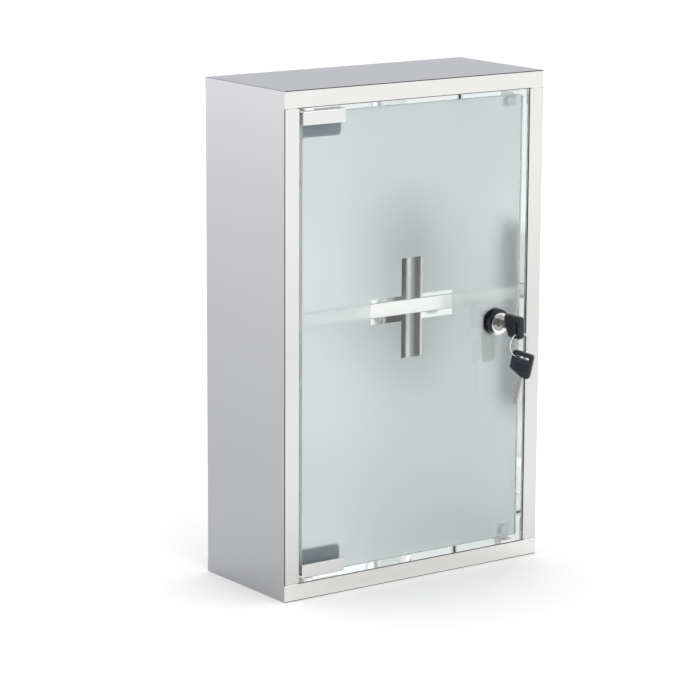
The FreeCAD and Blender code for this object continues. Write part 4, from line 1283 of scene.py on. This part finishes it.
class CABINET_OT_hinges(Operator):
    """Make the polished clamps, their screws, pads and pivots"""
    bl_idname = "cabinet.hinges"
    bl_label = "Pivot Hinges"

    def execute(self, context):
        polished = metal("polished clamp", (0.77, 0.77, 0.77), 0.09, (40, 900, 900), POLISHED_RELIEF, 0.02)
        plate = metal("pressure plate", (0.58, 0.60, 0.61), 0.28, (30, 1500, 1500), MACHINED_RELIEF)
        pin_steel = metal("pin steel", (0.62, 0.62, 0.62), 0.2, (1500, 1500, 60), POLISHED_RELIEF)
        nylon = soft_goods("white nylon", (0.80, 0.80, 0.78), 0.45, 900, MOULDED_RELIEF)
        soft_pad = soft_goods("clear pad", (0.145, 0.205, 0.225), 0.4, 700, MOULDED_RELIEF)
        for end in ("upper", "lower"):
            make_eased(f"{end}_clamp", f"{end}_hinge_clamp", CLAMP_EASE, polished, "door")
            dress_node(f"{end}_pressure_plate", plate)
            dress_node(f"{end}_pivot_pin", pin_steel)
            dress_node(f"{end}_pivot_bush", nylon)
            for side, corner in PAD_CORNERS.items():
                node = f"{end}_{side}_pad"
                layer = eased_off(refined_copy(node, PAD_EASE, 1, corner), AIR_FILM)
                make_piece(f"{end}_{side}_layer", layer, [soft_pad], "door", node)
        screw_steel = metal("screw steel", (0.66, 0.66, 0.65), 0.25, (700, 700, 700), MACHINED_RELIEF)
        low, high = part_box("hinge_screws")
        under_head = high.y - SCREW_HEAD_HEIGHT
        places = [
            (x, under_head, z)
            for x in (low.x + SCREW_HEAD_RADIUS, high.x - SCREW_HEAD_RADIUS)
            for z in (low.z + SCREW_HEAD_RADIUS, high.z - SCREW_HEAD_RADIUS)
        ]
        mesh = grow(domed_heads_rule(screw_steel), {
            "Shank Length": under_head - low.y, "Facing": -QUARTER_TURN,
        }, points_mesh(places))
        make_piece("clamp_screws", mesh, [], "door", "hinge_screws")
        return {"FINISHED"}


class CABINET_OT_lock(Operator):
    """Make the chrome rosette and finish the rest of the cam lock"""
    bl_idname = "cabinet.lock"
    bl_label = "Cam Lock"

    def execute(self, context):
        lock = context.scene.cabinet_lock
        nut = metal("nut plating", (0.74, 0.74, 0.74), 0.14, (500, 500, 500), POLISHED_RELIEF)
        plug = metal("plug plating", (0.34, 0.335, 0.33), 0.1, (600, 600, 600), POLISHED_RELIEF)
        cam = metal("cam zinc", (0.60, 0.60, 0.57), 0.33, (300, 300, 900), BRUSHED_RELIEF)
        screw = metal("cam screw zinc", (0.64, 0.64, 0.62), 0.28, (700, 700, 700), MACHINED_RELIEF)
        rubber = soft_goods("lock rubber", (0.02, 0.02, 0.021), 0.7, 3200, RUBBER_RELIEF)
        centre = Vector((lock_centre.x, glass_low.y, lock_centre.z))
        mesh = turned_profile(rosette_profile(lock, context.scene.cabinet_glass), centre)
        make_piece("lock_rosette", mesh, [rosette_chrome(lock)], "door", "lock_housing")
        dress_node("lock_gasket", rubber)
        dress_node("lock_washer", rubber)
        make_eased("lock_hex_nut", "lock_nut", NUT_EASE, nut, "door")
        make_eased("plug_with_keyway", "lock_plug", LOCK_EASE, plug, "lock_plug")
        make_eased("cam_arm", "lock_cam", LOCK_EASE, cam, "lock_plug")
        dress_node("cam_screw", screw)
        return {"FINISHED"}


class CABINET_OT_keys(Operator):
    """Make both keys with their moulded heads and grip lines"""
    bl_idname = "cabinet.keys"
    bl_label = "Keys"

    def execute(self, context):
        keys = context.scene.cabinet_keys
        nickel = metal("nickel", (0.30, 0.30, 0.285), 0.2, (900, 120, 900), BRUSHED_RELIEF, 0.1)
        plastic = soft_goods("black plastic", keys.plastic_colour, 0.36, 2600, PLASTIC_RELIEF, 0.3)
        rule = grip_lines_rule(plastic)
        for prefix, body, place in (
            ("", "key", lock_key_place(keys)),
            ("spare_", "spare_key", spare_key_place(keys)),
        ):
            for name, mesh, finish, slot, node in (
                ("moulded_head", key_grip(keys, place), [plastic], "black_plastic", f"{prefix}key_head"),
                ("steel_blade", cut_blade(keys, place), [nickel], "nickel", f"{prefix}key_blade"),
                ("grip_lines", grip_lines(keys, place, rule), [plastic], "black_plastic", None),
            ):
                make_piece(prefix + name, mesh, finish, body, node)
        return {"FINISHED"}


class CABINET_OT_ring(Operator):
    """Bend the wire ring that carries the second key"""
    bl_idname = "cabinet.ring"
    bl_label = "Key Ring"

    def execute(self, context):
        keys = context.scene.cabinet_keys
        plated = metal("ring wire", (0.72, 0.71, 0.69), 0.14, (500, 500, 500), POLISHED_RELIEF)
        wire_radius = keys.wire_diameter / 2
        mesh = grow(wire_ring_rule(plated), {
            "Ring Radius": (ring_high.z - ring_low.z) / 2 - wire_radius,
            "Wire Radius": wire_radius,
            "Opening": keys.ring_opening,
        })
        centre = (ring_low + ring_high) / 2
        mesh.transform(Matrix.Translation(centre) @ Matrix.Rotation(QUARTER_TURN, 4, "X"))
        make_piece("bent_wire_ring", mesh, [], "key_ring", "key_ring", math.radians(60))
        return {"FINISHED"}


# Panel and registration

STEPS = (
    CABINET_OT_stage,
    CABINET_OT_shell,
    CABINET_OT_inside,
    CABINET_OT_pane,
    CABINET_OT_hinges,
    CABINET_OT_lock,
    CABINET_OT_keys,
    CABINET_OT_ring,
)

SETTINGS = {
    "cabinet_steel": SteelSettings,
    "cabinet_glass": GlassSettings,
    "cabinet_lock": LockSettings,
    "cabinet_keys": KeySettings,
    "cabinet_stage": StageSettings,
}


class CABINET_PT_sidebar(Panel):
    """Settings and steps of the cabinet in the 3D view's sidebar"""
    bl_idname = "CABINET_PT_sidebar"
    bl_label = "Frosted Door Cabinet"
    bl_space_type = "VIEW_3D"
    bl_region_type = "UI"
    bl_category = "Cabinet"

    def draw(self, context):
        layout = self.layout
        for name in SETTINGS:
            group = getattr(context.scene, name)
            column = layout.box().column(align=True)
            column.label(text=group.bl_rna.name)
            for entry in group.bl_rna.properties:
                if entry.identifier not in ("name", "rna_type"):
                    column.prop(group, entry.identifier)
        for step in STEPS:
            layout.operator(step.bl_idname)


CLASSES = (*SETTINGS.values(), *STEPS, CABINET_PT_sidebar)


def register():
    for entry in CLASSES:
        bpy.utils.register_class(entry)
    for name, group in SETTINGS.items():
        setattr(bpy.types.Scene, name, PointerProperty(type=group))


def unregister():
    for name in SETTINGS:
        delattr(bpy.types.Scene, name)
    for entry in reversed(CLASSES):
        bpy.utils.unregister_class(entry)


def main():
    """Make every piece in order."""
    register()
    for step in STEPS:
        area, action = step.bl_idname.split(".")
        getattr(getattr(bpy.ops, area), action)()


if __name__ == "__main__":
    main()
